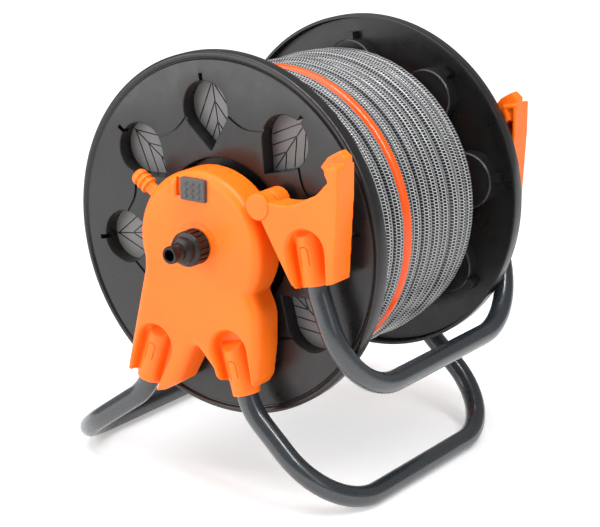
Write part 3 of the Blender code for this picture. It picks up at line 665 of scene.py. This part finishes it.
def swept_hose(name, points, stripes, sides):
    """A round tube along the points, with U in metres and V counted from the stripe."""
    centre = Vector((AXIS_X, 0, AXIS_Z))
    rear = Vector((0, 1, 0))
    shape = bmesh.new()
    sheet = shape.loops.layers.uv.new("hose")
    side = shape.loops.layers.uv.new("side")
    turns = [tau * k / sides for k in range(sides)]
    rings, lengths = [], [0.0]
    for index, point in enumerate(points):
        along = (points[min(index + 1, len(points) - 1)] - points[max(index - 1, 0)]).normalized()
        out = Vector((point.x, 0, point.z)) - centre
        out = (out - along * out.dot(along)).normalized()
        across = along.cross(out)
        if across.dot(rear) < 0:
            across.negate()
        spokes = [out * cos(turn) + across * sin(turn) for turn in turns]
        rings.append([shape.verts.new(point + spoke * HOSE_DIAMETER / 2) for spoke in spokes])
        if index:
            lengths.append(lengths[-1] + (point - points[index - 1]).length)
    for index, (ring, following) in enumerate(zip(rings, rings[1:])):
        for k in range(sides):
            beside = (k + 1) % sides
            face = shape.faces.new((ring[k], ring[beside], following[beside], following[k]))
            corners = ((index, k), (index, k + 1), (index + 1, k + 1), (index + 1, k))
            for loop, (row, column) in zip(face.loops, corners):
                loop[sheet].uv = (lengths[row], column / sides - stripes[row] / tau)
                # The side map drives the hose's painted shade, which darkens the threads on the sides of
                # each turn.
                loop[side].uv = ((1 + cos(tau * column / sides)) / 2, column / sides)
    shape.faces.new(rings[0])
    shape.faces.new(rings[-1])
    bmesh.ops.recalc_face_normals(shape, faces=shape.faces)
    mesh = bpy.data.meshes.new(name)
    shape.to_mesh(mesh)
    shape.free()
    return add(name, mesh), lengths[-1]


def hose_end(look):
    """The ribbed connector on the hose's free end, open at both ends."""

    def ribs(radius, depth, angle):
        if radius < 0.0094 or not -0.015 < depth < -0.005:
            return radius
        return radius - 0.0006 * (1 if (angle * 16 / tau) % 1 < 0.3 else 0)

    profile = [
        (0.0082, -END_HALF), (0.009, -END_HALF), (0.0096, -END_HALF + 0.0008), (0.0096, -0.0045),
        (0.0098, -0.0035), (0.0106, -0.003), (END_RADIUS, -0.0025), (END_RADIUS, 0.005),
        (0.0106, 0.0058), (0.0096, 0.0064), (0.009, 0.015), (0.0086, END_HALF), (0.0062, END_HALF),
        (0.006, 0.016), (0.006, -0.001), (0.0082, -0.0012),
    ]
    made = lathe("hose_end_coupling", profile, REAR, 96, shape=ribs)
    reach = OUTER_LAYER + END_RISE - 0.0009
    turn = Matrix.Rotation(pi / 2 - END_ANGLE, 4, "Y") @ Matrix.Rotation(pi / 2, 4, "Z")
    place_turned(made, turn, world(reach * cos(END_ANGLE), END_DEPTH, reach * sin(END_ANGLE), REAR))
    return done(made, "drum", look, "grey_plastic", "hose_end_connector", degrees=30)


def hose(look, end_look):
    points, stripes = hose_line()
    made, length = swept_hose("wound_hose", points, stripes, HOSE_SIDES)
    done(made, "drum", look, "braided_hose", "hose_winding", degrees=80)
    hose_end(end_look)


# ---------------------------------------------------------------- flanges


def leaf_outline(angle, grow, steps=28):
    """A teardrop: round end outwards, point towards the axis."""
    radius = LEAF_RADIUS + grow
    spread = math.acos(LEAF_RADIUS / (LEAF_CENTRE - LEAF_TIP))
    out = heading(angle)
    tip = out * (LEAF_CENTRE - radius / cos(spread))
    start = angle + pi + spread
    return [tuple(tip)] + arc(out * LEAF_CENTRE, radius, start, start + tau - 2 * spread, steps)


def strip(start, end, width):
    """The four corners of a straight strip in the front view."""
    along = (Vector(end) - Vector(start)).normalized()
    across = Vector((-along.y, along.x)) * width / 2
    return [tuple(Vector(start) + across), tuple(Vector(end) + across), tuple(Vector(end) - across),
            tuple(Vector(start) - across)]


def leaf_edge(start, direction):
    """How far a line from a point on the midrib runs before it meets the leaf's edge, leaf along +x."""
    outline = leaf_outline(0, 0)
    far = Vector(start) + direction * 0.1
    for first, second in zip(outline, outline[1:] + outline[:1]):
        hit = intersect_line_line_2d(Vector(start), far, Vector(first), Vector(second))
        if hit and (hit - Vector(start)).length > 0.002:
            return hit
    return far


def vein_strips(angle):
    """Midrib and three pairs of side veins, each a narrow strip."""
    lines = [((LEAF_TIP + 0.003, 0), (LEAF_CENTRE + LEAF_RADIUS - 0.0005, 0))]
    for start in (0.1405, 0.122, 0.103):
        for side in (-1, 1):
            lean = Vector((-cos(radians(31)), side * sin(radians(31))))
            edge = leaf_edge((start, 0), lean)
            lines.append(((start, 0), tuple(Vector((start, 0)) + (edge - Vector((start, 0))) * 0.985)))
    turn = Matrix.Rotation(angle, 2)
    return [strip(turn @ Vector(a), turn @ Vector(b), 0.0012) for a, b in lines]


def flange(name, side, body_look, leaf_look, node):
    """A dished disc with a deep beaded rim, eight leaf pockets and a hollow around the hub."""
    radius = FLANGE_RADIUS
    profile = [
        (radius - 0.001, LIP_DEPTH_IN),
        (radius - 0.0002, LIP_DEPTH_IN + 0.0006),
        (radius, LIP_DEPTH_IN + 0.002),
    ]
    for lean in (75, 50, 25, 0, -25, -50):
        turn = radians(lean)
        profile.append((radius - BEAD + BEAD * sin(turn), LIP_DEPTH_OUT - BEAD + BEAD * cos(turn)))
    profile += [
        (radius - 0.0062, FLANGE_FACE - 0.0012), (radius - 0.007, FLANGE_FACE - 0.0015),
        (radius - 0.0082, FLANGE_FACE - 0.0002), (radius - 0.009, FLANGE_FACE),
        (RECESS_RADIUS + 0.0012, FLANGE_FACE), (RECESS_RADIUS + 0.0003, FLANGE_FACE - 0.0003),
        (RECESS_RADIUS, FLANGE_FACE - 0.0012), (RECESS_RADIUS, RECESS_FLOOR + 0.001),
        (RECESS_RADIUS - 0.001, RECESS_FLOOR), (0.05, RECESS_FLOOR), (0.0495, RECESS_FLOOR + 0.001),
        (0.047, RECESS_FLOOR + 0.001), (0.0465, RECESS_FLOOR), (BORE_RADIUS, RECESS_FLOOR),
        (BORE_RADIUS, RECESS_FLOOR - FLANGE_WALL),
        (RECESS_RADIUS + FLANGE_WALL, RECESS_FLOOR - FLANGE_WALL),
        (RECESS_RADIUS + FLANGE_WALL, FLANGE_FACE - FLANGE_WALL),
        (radius - 0.0045, FLANGE_FACE - FLANGE_WALL),
        (radius - 0.0034, FLANGE_FACE - FLANGE_WALL - 0.001), (radius - 0.003, LIP_DEPTH_IN),
    ]
    made = lathe(name, profile, side, steps=192)
    floor = FLANGE_FACE - LEAF_DEPTH
    angles = [LEAF_START + index * tau / LEAF_COUNT for index in range(LEAF_COUNT)]
    for angle in angles:
        cup = stacked("cup", leaf_outline(angle, LEAF_WALL), [
            (0.0012, floor - CUP_FLOOR), (0, floor - CUP_FLOOR + 0.0012), (0, FLANGE_FACE - 0.0014)], side)
        out = heading(angle)
        outline = strip((LEAF_CENTRE + LEAF_RADIUS) * out, (LEAF_STEM + 0.0022) * out, 0.0085)
        stem_box = plate("stem_box", outline, floor + 0.004, FLANGE_FACE - 0.0016, side)
        join(made, cup, stem_box)
    for angle in angles:
        rings = [(0, floor), (0, FLANGE_FACE - 0.0007)]
        rings += [(-0.0007, FLANGE_FACE), (-0.0007, FLANGE_FACE + 0.004)]
        pocket = stacked("pocket", leaf_outline(angle, 0), rings, side)
        out = heading(angle)
        outline = strip((LEAF_CENTRE + LEAF_RADIUS - 0.003) * out, LEAF_STEM * out, 0.0042)
        stem = plate("stem", outline, floor + 0.006, FLANGE_FACE + 0.004, side)
        cut(made, pocket, stem)
        for vein in vein_strips(angle):
            cut(made, plate("vein", vein, floor - 0.0009, floor + 0.001, side))
    if side == FRONT:
        for angle in angles:
            cut(made, festoon(angle, angle + tau / LEAF_COUNT))
        reach = math.hypot(*LOCK_PIN)
        for index in range(LOCK_HOLES):
            turn = math.atan2(LOCK_PIN[1], LOCK_PIN[0]) + index * tau / LOCK_HOLES
            hole = circle((reach * cos(turn), reach * sin(turn)), 0.0065, 24)
            cut(made, plate("lock_hole", hole, 0.1, 0.118))
    made.data.materials.clear()
    made.data.materials.append(body_look)
    made.data.materials.append(leaf_look)
    face_y = MIDDLE_Y + side * floor
    for face in made.data.polygons:
        reach = math.hypot(face.center.x - AXIS_X, face.center.z - AXIS_Z)
        face.material_index = int(abs(face.center.y - face_y) < 0.0002 and reach > RECESS_RADIUS + 0.004)
    done(made, "drum", None, "flange_plastic", node, degrees=28)


def festoon(first, second):
    """A shallow groove that hangs between two leaves like a garland."""
    low, high = first + FESTOON_GAP, second - FESTOON_GAP
    points = []
    for step in range(13):
        share = step / 12
        angle = low + (high - low) * share
        reach = FESTOON_REACH - FESTOON_SAG * sin(pi * share)
        points.append((reach * cos(angle), reach * sin(angle)))
    edges = [Vector(b) - Vector(a) for a, b in zip(points, points[1:])]
    sides = []
    for index, point in enumerate(points):
        edge = edges[min(index, len(edges) - 1)].normalized()
        sides.append((Vector(point), Vector((-edge.y, edge.x)) * FESTOON_HALF))
    outline = [tuple(p + s) for p, s in sides] + [tuple(p - s) for p, s in reversed(sides)]
    return plate("festoon", outline, FLANGE_FACE - FESTOON_DEPTH, FLANGE_FACE + 0.003)


# ---------------------------------------------------------------- tubes


def filleted_path(corners, radii, steps):
    """World points along straight runs joined by arcs."""
    path = [corners[0]]
    for before, corner, after, radius in zip(corners, corners[1:], corners[2:], radii):
        to_before = (before - corner).normalized()
        to_after = (after - corner).normalized()
        half = to_before.angle(to_after) / 2
        centre = corner + (to_before + to_after).normalized() * radius / sin(half)
        first = corner + to_before * radius / math.tan(half) - centre
        last = corner + to_after * radius / math.tan(half) - centre
        sweep = first.angle(last)
        for step in range(steps + 1):
            share = step / steps
            spoke = (first * sin((1 - share) * sweep) + last * sin(share * sweep)) / sin(sweep)
            path.append(centre + spoke)
    path.append(corners[-1])
    return path


def bent_bar(name, view, radius, extra=0.0, steps=14, sides=32):
    """A U of round section: two socket ends, two bends, two corners and a bar along Y."""
    top, bend, corner = (Vector(place) for place in view)
    top += (top - bend).normalized() * extra
    corners = [world(place.x, TUBE_DEPTH, place.y, FRONT) for place in (top, bend, corner)]
    corners += [world(place.x, TUBE_DEPTH, place.y, REAR) for place in (corner, bend, top)]
    path = filleted_path(corners, (BEND_RADIUS, CORNER_RADIUS, CORNER_RADIUS, BEND_RADIUS), steps)
    verts = []
    across = (path[1] - path[0]).orthogonal().normalized()
    for index, point in enumerate(path):
        along = (path[min(index + 1, len(path) - 1)] - path[max(index - 1, 0)]).normalized()
        across = (across - along * across.dot(along)).normalized()
        up = along.cross(across)
        verts += [
            point + (across * cos(tau * k / sides) + up * sin(tau * k / sides)) * radius
            for k in range(sides)
        ]
    faces = []
    for row in range(len(path) - 1):
        for k in range(sides):
            a, b = row * sides + k, row * sides + (k + 1) % sides
            faces.append((a, b, b + sides, a + sides))
    last = (len(path) - 1) * sides
    faces += [tuple(range(sides)), tuple(range(last, last + sides))]
    return built(name, verts, faces)


def tubes(look):
    for name, view, body, node in (
        ("left_stand_tube", LEFT_FOOT, "stand", "left_foot_tube"),
        ("right_stand_tube", RIGHT_FOOT, "stand", "right_foot_tube"),
        ("carrying_tube", HANDLE, "handle", "handle_tube"),
    ):
        made = bent_bar(name, view, TUBE_RADIUS)
        done(made, body, look, "coated_tube", node, degrees=60)


# ---------------------------------------------------------------- brackets and arms


def socket_direction(view):
    return (Vector(view[1]) - Vector(view[0])).normalized()


def pocket_outline(view, grow):
    """The arched recess around a tube socket: wide at the top, as wide as the socket at its mouth."""
    down = socket_direction(view)
    across = Vector((-down.y, down.x))
    mouth = Vector(view[0]) + down * (SOCKET_LENGTH[view] + 0.034)
    slim = across * (SOCKET_RADIUS + 0.001 + grow)
    start = math.atan2(across.y, across.x)
    arch = arc(RECESS[view], POCKET_WIDTH + grow, start, start + pi, 32)
    return arch + [tuple(mouth - slim), tuple(mouth + slim)]


def add_socket(made, view, side, outline):
    """A tube socket with a slanted top, standing in its arched recess."""
    down = socket_direction(view)
    top = Vector(view[0])
    mouth = top + down * SOCKET_LENGTH[view]
    tub = plate("tub", pocket_outline(view, WALL), POCKET_FLOOR - WALL, FACE - 0.002, side)
    edge = plate("tub_edge", outline, POCKET_FLOOR - 0.02, FACE + 0.01, side)
    combine(tub, [edge], "INTERSECT")
    join(made, tub)
    pocket = stacked("pocket", pocket_outline(view, 0), [
        (0.005, POCKET_FLOOR), (0.0015, POCKET_FLOOR + 0.003), (0.0002, FACE - 0.0035), (-0.002, FACE),
        (-0.002, FACE + 0.004)], side)
    cut(made, pocket)
    start = world(top.x - down.x * 0.008, TUBE_DEPTH, top.y - down.y * 0.008, side)
    end = world(mouth.x, TUBE_DEPTH, mouth.y, side)
    sleeve = rod("sleeve", start, end, SOCKET_RADIUS, sides=64)
    cut(sleeve, sleeve_slope(top, down, side))
    join(made, sleeve)


def sleeve_slope(top, down, side):
    """A wedge that slopes a sleeve's closed top down into the recess."""
    across = Vector((-down.y, down.x)) * 0.02
    section = [(-0.012, 0.15), (0.0005, 0.164), (0.0005, 0.168), (-0.012, 0.168)]
    verts = []
    for sign in (-1, 1):
        for along, depth in section:
            place = top + down * along + across * sign
            verts.append(world(place.x, depth, place.y, side))
    sides = [(k, (k + 1) % 4, 4 + (k + 1) % 4, 4 + k) for k in range(4)]
    return built("slope", verts, sides + [(0, 1, 2, 3), (4, 5, 6, 7)])


def tongue_slit(view, side):
    """The thin arched slit around a socket's springy tongue."""
    down = socket_direction(view)
    across = Vector((-down.y, down.x))
    top = Vector(view[0]) + down * 0.012
    start = math.atan2(across.y, across.x)
    outer = arc(top, SLIT_RADIUS + SLIT_HALF, start, start + pi, 16)
    inner = arc(top, SLIT_RADIUS - SLIT_HALF, start + pi, start, 16)
    foot = down * 0.014
    left_out, left_in = Vector(outer[-1]) + foot, Vector(inner[0]) + foot
    right_in, right_out = Vector(inner[-1]) + foot * 0.9, Vector(outer[0]) + foot * 0.9
    outline = outer + [tuple(left_out), tuple(left_in)] + inner + [tuple(right_in), tuple(right_out)]
    return plate("slit", outline, TUBE_DEPTH + TUBE_RADIUS + 0.0009, FACE + 0.005, side)


def bracket_outline():
    """The hub's round top and two splayed legs, in the front view."""
    hub = arc((0, 0), HUB_RADIUS, radians(198), radians(-33.5), 72)
    legs = rounded(
        [
            (*hub[-1], 0), (0.0652, -0.056, 0.03), (0.065, -0.09, 0.06),
            (0.0615, -0.118, 0.012), (0.056, -0.127, 0.006), (0.04, -0.1345, 0.004),
            (0.0285, -0.131, 0.005), (-0.0065, -0.096, 0.004), (-0.029, -0.139, 0.008),
            (-0.048, -0.151, 0.006), (-0.0665, -0.147, 0.004), (-0.0855, -0.135, 0.005),
            (-0.0875, -0.129, 0.005), (-0.0646, -0.032, 0.03), (*hub[0], 0),
        ],
        steps=8,
    )
    return hub[1:-1] + legs


def ear_outline():
    """The round end of the ear on the pivot, with a straight neck back into the hub."""
    pivot = Vector(PIVOT)
    lean = math.atan2(pivot.y, pivot.x)
    across = Vector((-sin(lean), cos(lean))) * EYE_RADIUS
    root = pivot.normalized() * (HUB_RADIUS - 0.009)
    tip = arc(PIVOT, EYE_RADIUS, lean - pi / 2, lean + pi / 2, 32)
    return tip + [tuple(root + across), tuple(root - across)]


def bracket_blank(name, side):
    """The moulding both brackets share: a hollow shell with two sockets and the pivot's ear."""
    outline = bracket_outline()
    made = crowned(outline, BRACKET_BACK, FACE, EDGE_ROUND, side, name, 8)
    cut(made, plate("hollow", inset(outline, WALL), BRACKET_BACK - 0.01, FACE - WALL - 0.003, side))
    for view in (LEFT_FOOT, RIGHT_FOOT):
        add_socket(made, view, side, outline)
    join(made, plate("ear", ear_outline(), BRACKET_BACK, EAR_DEPTH, side))
    cut(made, plate("seat", circle(PIVOT, EYE_RADIUS + 0.001), EAR_DEPTH, FACE + 0.003, side))
    cut(made, plate("pin_hole", circle(PIVOT, PIN_RADIUS + 0.0006), BRACKET_BACK + 0.003, FACE, side))
    return made


def finish_sockets(made, views, side):
    """Opens each socket for its tube and cuts the slit of its tongue, after moulding."""
    for view in views:
        cut(made, bent_bar("bore", view, TUBE_RADIUS + 0.0004, 0.0003))
        cut(made, tongue_slit(view, side))


def front_hub(look):
    made = bracket_blank("front_hub", FRONT)
    dome = [(0, FACE - 0.004), (0, FACE), (0.0025, FACE + 0.0004)]
    join(made, stacked("dome", circle((0, 0), 0.0265, 64), dome))
    boss = [(0, 0.15), (0, FACE + 0.0006), (0.0006, FACE + 0.001)]
    join(made, stacked("boss", circle((0, 0), 0.0185, 64), boss))
    cut(made, block("lock_slot", (-0.0245, FACE - 0.0015, 0.041), (0.012, FACE + 0.005, 0.0625)))
    mark = soft_box((-0.0325, 0.043), (-0.0308, 0.0585), 0.0006, 3)
    join(made, crowned(mark, FACE - 0.002, FACE + 0.0008, 0.0004, FRONT, "mark", 3))
    join(made, plate("guide", circle(LOCK_PIN, 0.0075, 24), 0.136, 0.148))
    join(made, block("rib", (-0.006, 0.137, 0.054), (-0.002, 0.146, 0.0665)))
    mould(made, HUB_VOXEL, rounds=5)
    cut(made, block("lock_window", (-0.0165, 0.155, 0.0485), (0.0055, FACE + 0.005, 0.058)))
    cut(made, block("lock_recess", (-0.0235, FACE - 0.0042, 0.0432), (-0.016, FACE + 0.005, 0.0603)))
    cut(made, plate("guide_hole", circle(LOCK_PIN, 0.0048, 24), 0.13, 0.155))
    cut(made, plate("axle_hole", circle((0, 0), AXLE_HOLE), 0.14, FACE + 0.01))
    finish_sockets(made, (LEFT_FOOT, RIGHT_FOOT), FRONT)
    done(made, "stand", look, "orange_plastic", "front_bracket", degrees=40)


def rear_hub(look):
    made = bracket_blank("rear_hub", REAR)
    boss = [(0, 0.14), (0, FACE + 0.0006), (0.0006, FACE + 0.001)]
    join(made, stacked("boss", circle((0, 0), 0.021, 64), boss, REAR))
    mould(made, HUB_VOXEL, rounds=5)
    cut(made, plate("bush_hole", circle((0, 0), BUSH_HOLE), 0.13, FACE + 0.01, REAR))
    finish_sockets(made, (LEFT_FOOT, RIGHT_FOOT), REAR)
    done(made, "stand", look, "orange_plastic", "rear_bracket", degrees=40)


def arm_outline():
    """The handle arm in the front view: eye, hook and the socket's end."""
    eye = arc(PIVOT, EYE_RADIUS, radians(285), radians(25), 40)
    rest = rounded(
        [
            (*eye[-1], 0), (0.09, 0.051, 0.02), (0.103, 0.0525, 0.04), (0.129, 0.0655, 0.015),
            (0.141, 0.0785, 0.002), (0.1372, 0.085, 0.002), (0.1375, 0.0905, 0.001),
            (0.1517, 0.0935, 0.001), (0.1517, 0.064, 0), (0.1479, -0.0105, 0.002),
            (0.1066, -0.025, 0.003), (0.0885, 0.0045, 0.05), (*eye[0], 0),
        ],
        steps=6,
    )
    return eye[1:-1] + rest


ARM_HOLLOW = (
    (0.0772, 0.0324), (0.0918, 0.0053), (0.11, -0.0186), (0.145, -0.0086), (0.1487, 0.064),
    (0.1487, 0.09), (0.1407, 0.088), (0.1443, 0.0775), (0.1302, 0.0627), (0.1034, 0.0494),
    (0.089, 0.0478),
)

HOOK_BLADE = (
    (0.1257, 0.0874), (0.1285, 0.086), (0.131, 0.08), (0.14, 0.076),
    (0.1517, 0.076), (0.1517, 0.099), (0.1449, 0.1043), (0.1334, 0.0973),
)


def handle_arm(name, side, look, node):
    made = stacked(name, arm_outline(), [(0, ARM_BACK), (0, FACE - 0.001), (0.001, FACE)], side)
    cut(made, plate("hollow", list(ARM_HOLLOW), ARM_BACK - 0.005, FACE - WALL, side))
    join(made, plate("blade", list(HOOK_BLADE), BLADE_BACK, BLADE_FRONT, side))
    add_socket(made, HANDLE, side, arm_outline())
    cut(made, plate("ear_room", circle(PIVOT, EYE_RADIUS + 0.0015), 0.13, EAR_DEPTH + 0.001, side))
    join(made, plate("eye", circle(PIVOT, EYE_RADIUS - 0.0005), EAR_DEPTH + 0.001, FACE - 0.002, side))
    cut(made, plate("hub_room", circle((0, 0), HUB_RADIUS + 0.001, 96), 0.13, FACE + 0.01, side))
    mould(made, ARM_VOXEL, rounds=3)
    cut(made, plate("pin_hole", circle(PIVOT, PIN_RADIUS + 0.0006), 0.13, FACE + 0.01, side))
    cut(made, plate("cap_seat", circle(PIVOT, CAP_RADIUS + 0.0004), FACE - 0.003, FACE + 0.01, side))
    finish_sockets(made, (HANDLE,), side)
    done(made, "handle", look, "orange_plastic", node, degrees=40)


def pivot_cap(name, side, look, node):
    profile = [
        (0, BRACKET_BACK + 0.004), (PIN_RADIUS - 0.0005, BRACKET_BACK + 0.004),
        (PIN_RADIUS, BRACKET_BACK + 0.0045), (PIN_RADIUS, FACE - 0.0025), (CAP_RADIUS, FACE - 0.0025),
        (CAP_RADIUS, FACE - 0.0001), (CAP_RADIUS - 0.0003, FACE + 0.0005),
        (CAP_RADIUS - 0.001, FACE + 0.0009), (CAP_RADIUS - 0.0022, FACE + 0.001), (0, FACE + 0.001),
    ]
    done(lathe(name, profile, side, 64, PIVOT), "handle", look, "orange_plastic", node)


# ---------------------------------------------------------------- inlet, spigot, slider


def inlet(look):
    """The ribbed nut with its quick-connect nipple, open through its middle."""

    def ribs(radius, depth, angle):
        if not FACE + 0.0025 < depth < FACE + 0.015 or radius < 0.015:
            return radius
        wave = abs((angle * 18 / tau) % 1 - 0.5) * 2
        return radius - 0.0013 * (1 if wave < 0.3 else 0)

    outside = [
        (0.011, 0.0013), (0.0155, 0.0013), (0.0165, 0.0022), (0.0165, 0.0026), (0.0163, 0.003),
        (0.0163, 0.014), (0.0163, 0.0152), (0.0156, 0.0168), (0.0145, 0.0174), (0.0128, 0.0176),
        (0.0122, 0.018), (0.0122, 0.0222), (0.0117, 0.0236), (0.0104, 0.0244), (0.0088, 0.0248),
        (0.0082, 0.0256), (0.0082, 0.03), (0.0078, 0.0304), (0.0072, 0.031), (0.0072, 0.0335),
        (0.0078, 0.0341), (0.0082, 0.0347), (0.0082, 0.038), (0.0079, 0.0392),
    ]
    nut = [(radius, FACE + height) for radius, height in outside]
    nut += [(0.0071, INLET_END), (0.0056, INLET_END), (0.0052, INLET_END - 0.0005)]
    nut += [(0.0052, 0.1865), (0.011, 0.1865)]
    made = lathe("inlet_nut", nut, FRONT, 288, shape=ribs)
    done(made, "stand", look, "black_plastic", "inlet_adapter", degrees=30)


def spigot(look):
    """A ringed spigot on the bracket's shoulder, for parking the nozzle."""
    profile = [
        (0, 0), (0.0078, 0), (0.0072, 0.0012), (0.0058, 0.0022), (0.0056, 0.0095), (0.0064, 0.0104),
        (0.0083, 0.0109), (0.0084, 0.0126), (0.0076, 0.014), (0.0066, 0.0146), (0.0066, 0.0158),
        (0.0082, 0.0165), (0.0083, 0.0182), (0.0075, 0.0196), (0.0065, 0.0202), (0.0065, 0.0214),
        (0.008, 0.0221), (0.0081, 0.024), (0.0074, 0.0262), (0.0062, 0.028), (0.0052, 0.0285),
        (0, 0.0285),
    ]
    made = lathe("parking_spigot_rings", profile, FRONT, 48)
    turn = Matrix.Rotation(pi / 2 - SPIGOT_ANGLE, 4, "Y") @ Matrix.Rotation(-pi / 2, 4, "X")
    out = heading(SPIGOT_ANGLE) * (HUB_RADIUS + 0.0004)
    place_turned(made, turn, world(out.x, TUBE_DEPTH, out.y))
    done(made, "stand", look, "orange_plastic", "parking_spigot", degrees=50)


def slider(look):
    """The grey lock slider with nine domed dots."""
    outline = soft_box((-0.0155, 0.0415), (0.0115, 0.062), 0.001, 4)
    made = crowned(outline, FACE - 0.0012, FACE + 0.0033, 0.0006, FRONT, "lock_slider_cap", 4)
    join(made, block("tongue", (-0.01, FACE - 0.008, 0.05), (0.0045, FACE, 0.057)))
    dot = [(0, FACE + 0.003), (0, FACE + 0.0035), (0.0004, FACE + 0.0041), (0.0009, FACE + 0.0044)]
    for column in (-1, 0, 1):
        for row in (-1, 0, 1):
            centre = (-0.002 + column * 0.0072, 0.05175 + row * 0.0058)
            join(made, stacked("dot", circle(centre, 0.0022, 20), dot))
    done(made, "lock_slider", look, "grey_plastic", "drum_lock_slider", degrees=35)


# ---------------------------------------------------------------- crank


def crank(look):
    """The lever on the rear side, and its waisted grip, which turns on a pin."""
    out = heading(CRANK_ANGLE)
    end = tuple(out * CRANK_REACH)
    hub = arc((0, 0), 0.019, CRANK_ANGLE + pi / 2, CRANK_ANGLE + 3 * pi / 2, 32)
    head = arc(end, 0.0125, CRANK_ANGLE - pi / 2, CRANK_ANGLE + pi / 2, 24)
    made = crowned(hub + head, 0.1705, 0.1805, 0.0022, REAR, "crank_lever", 5)
    side = Vector((-out.y, out.x))
    waist = ((0.026, 0.0105), (0.078, 0.007), (0.078, -0.007), (0.026, -0.0105))
    corners = [(*(out * along + side * aside), 0.006) for along, aside in waist]
    cut(made, stacked("panel", rounded(corners, 5), [(0.001, 0.1788), (0, 0.1806), (0, 0.184)], REAR))
    cut(made, plate("shaft_hole", circle((0, 0), 0.0103, 48), 0.16, 0.1793, REAR))
    cut(made, plate("pin_hole", circle(end, 0.0043, 32), 0.16, 0.19, REAR))
    done(made, "drum", look, "black_plastic", "crank_arm", degrees=30)
    profile = [(0, 0.2445), (0.0045, 0.2445), (0.0045, GRIP_START)]
    profile += [(0.0098, GRIP_START), (0.0108, GRIP_START + 0.0006)]
    for step in range(25):
        share = step / 24
        depth = GRIP_START + 0.002 + share * (GRIP_END - GRIP_START - 0.006)
        swell = 0.0118 + 0.0016 * cos(tau * share) * (1 if share > 0.5 else 0.9)
        ring = 0.00045 if 0.2 < share < 0.8 and step % 2 else 0
        profile.append((min(swell, GRIP_RADIUS) - ring, depth))
    profile += [(0.012, GRIP_END - 0.0022), (0.01, GRIP_END - 0.0008)]
    profile += [(0.007, GRIP_END), (0, GRIP_END)]
    made = lathe("crank_handle_grip", profile, REAR, 64, end)
    done(made, "grip", look, "black_plastic", "crank_grip", degrees=60)


# ---------------------------------------------------------------- carried-over nodes


def dress_nodes(looks):
    slots = {entry["node"]: entry["material_slot"] for entry in frame["record"]["subparts"]}
    for name, node in frame["nodes"].items():
        look = looks[slots[name]]
        node.data.materials.clear()
        node.data.materials.append(look)


# ---------------------------------------------------------------- stage


def area_light(name, place, size, power):
    """A soft lamp that faces the drum's middle."""
    data = bpy.data.lights.new(name, "AREA")
    data.shape = "RECTANGLE"
    data.size, data.size_y = size
    data.energy = power
    light = add(name, data)
    light.location = place
    light.rotation_euler = (world(0, 0, 0) - place).to_track_quat("-Z", "Y").to_euler()


def stage():
    floor = built("floor", [(x, y, FLOOR_LEVEL) for x, y in corners_of((-6, -6), (6, 8))], [(0, 1, 2, 3)])
    floor.data.materials.append(pale_glowing_floor())
    backdrop = bpy.data.worlds.new("studio")
    backdrop.use_nodes = True
    shade = backdrop.node_tree.nodes["Background"]
    shade.inputs["Color"].default_value = (0.97, 0.98, 1.0, 1)
    shade.inputs["Strength"].default_value = 0.32
    bpy.context.scene.world = backdrop
    area_light("key", world(-0.75, 1.25, 0.45), (1.3, 1.1), 17)
    area_light("top", world(-0.3, 0.3, 1.5), (1.6, 1.4), 20)
    area_light("strip", world(0.55, 0.25, 1.05), (0.14, 1.3), 15)
    area_light("side", world(1.9, 0.6, 0.8), (0.7, 1.2), 4)


def main():
    bpy.context.scene.view_settings.view_transform = "Standard"
    set_camera()
    looks = all_looks()
    hose(looks["braided_hose"], looks["grey_plastic"])
    dress_nodes(looks)
    flange("front_disc", FRONT, looks["flange_plastic"], looks["leaf_plastic"], "front_flange")
    flange("rear_disc", REAR, looks["flange_plastic"], looks["leaf_plastic"], "rear_flange")
    tubes(looks["coated_tube"])
    orange = looks["orange_plastic"]
    front_hub(orange)
    rear_hub(orange)
    handle_arm("front_arm", FRONT, orange, "front_handle_arm")
    handle_arm("rear_arm", REAR, orange, "rear_handle_arm")
    pivot_cap("front_pivot_cap", FRONT, orange, "front_pivot_pin")
    pivot_cap("rear_pivot_cap", REAR, orange, "rear_pivot_pin")
    inlet(looks["black_plastic"])
    spigot(orange)
    slider(looks["grey_plastic"])
    crank(looks["black_plastic"])
    stage()


main()
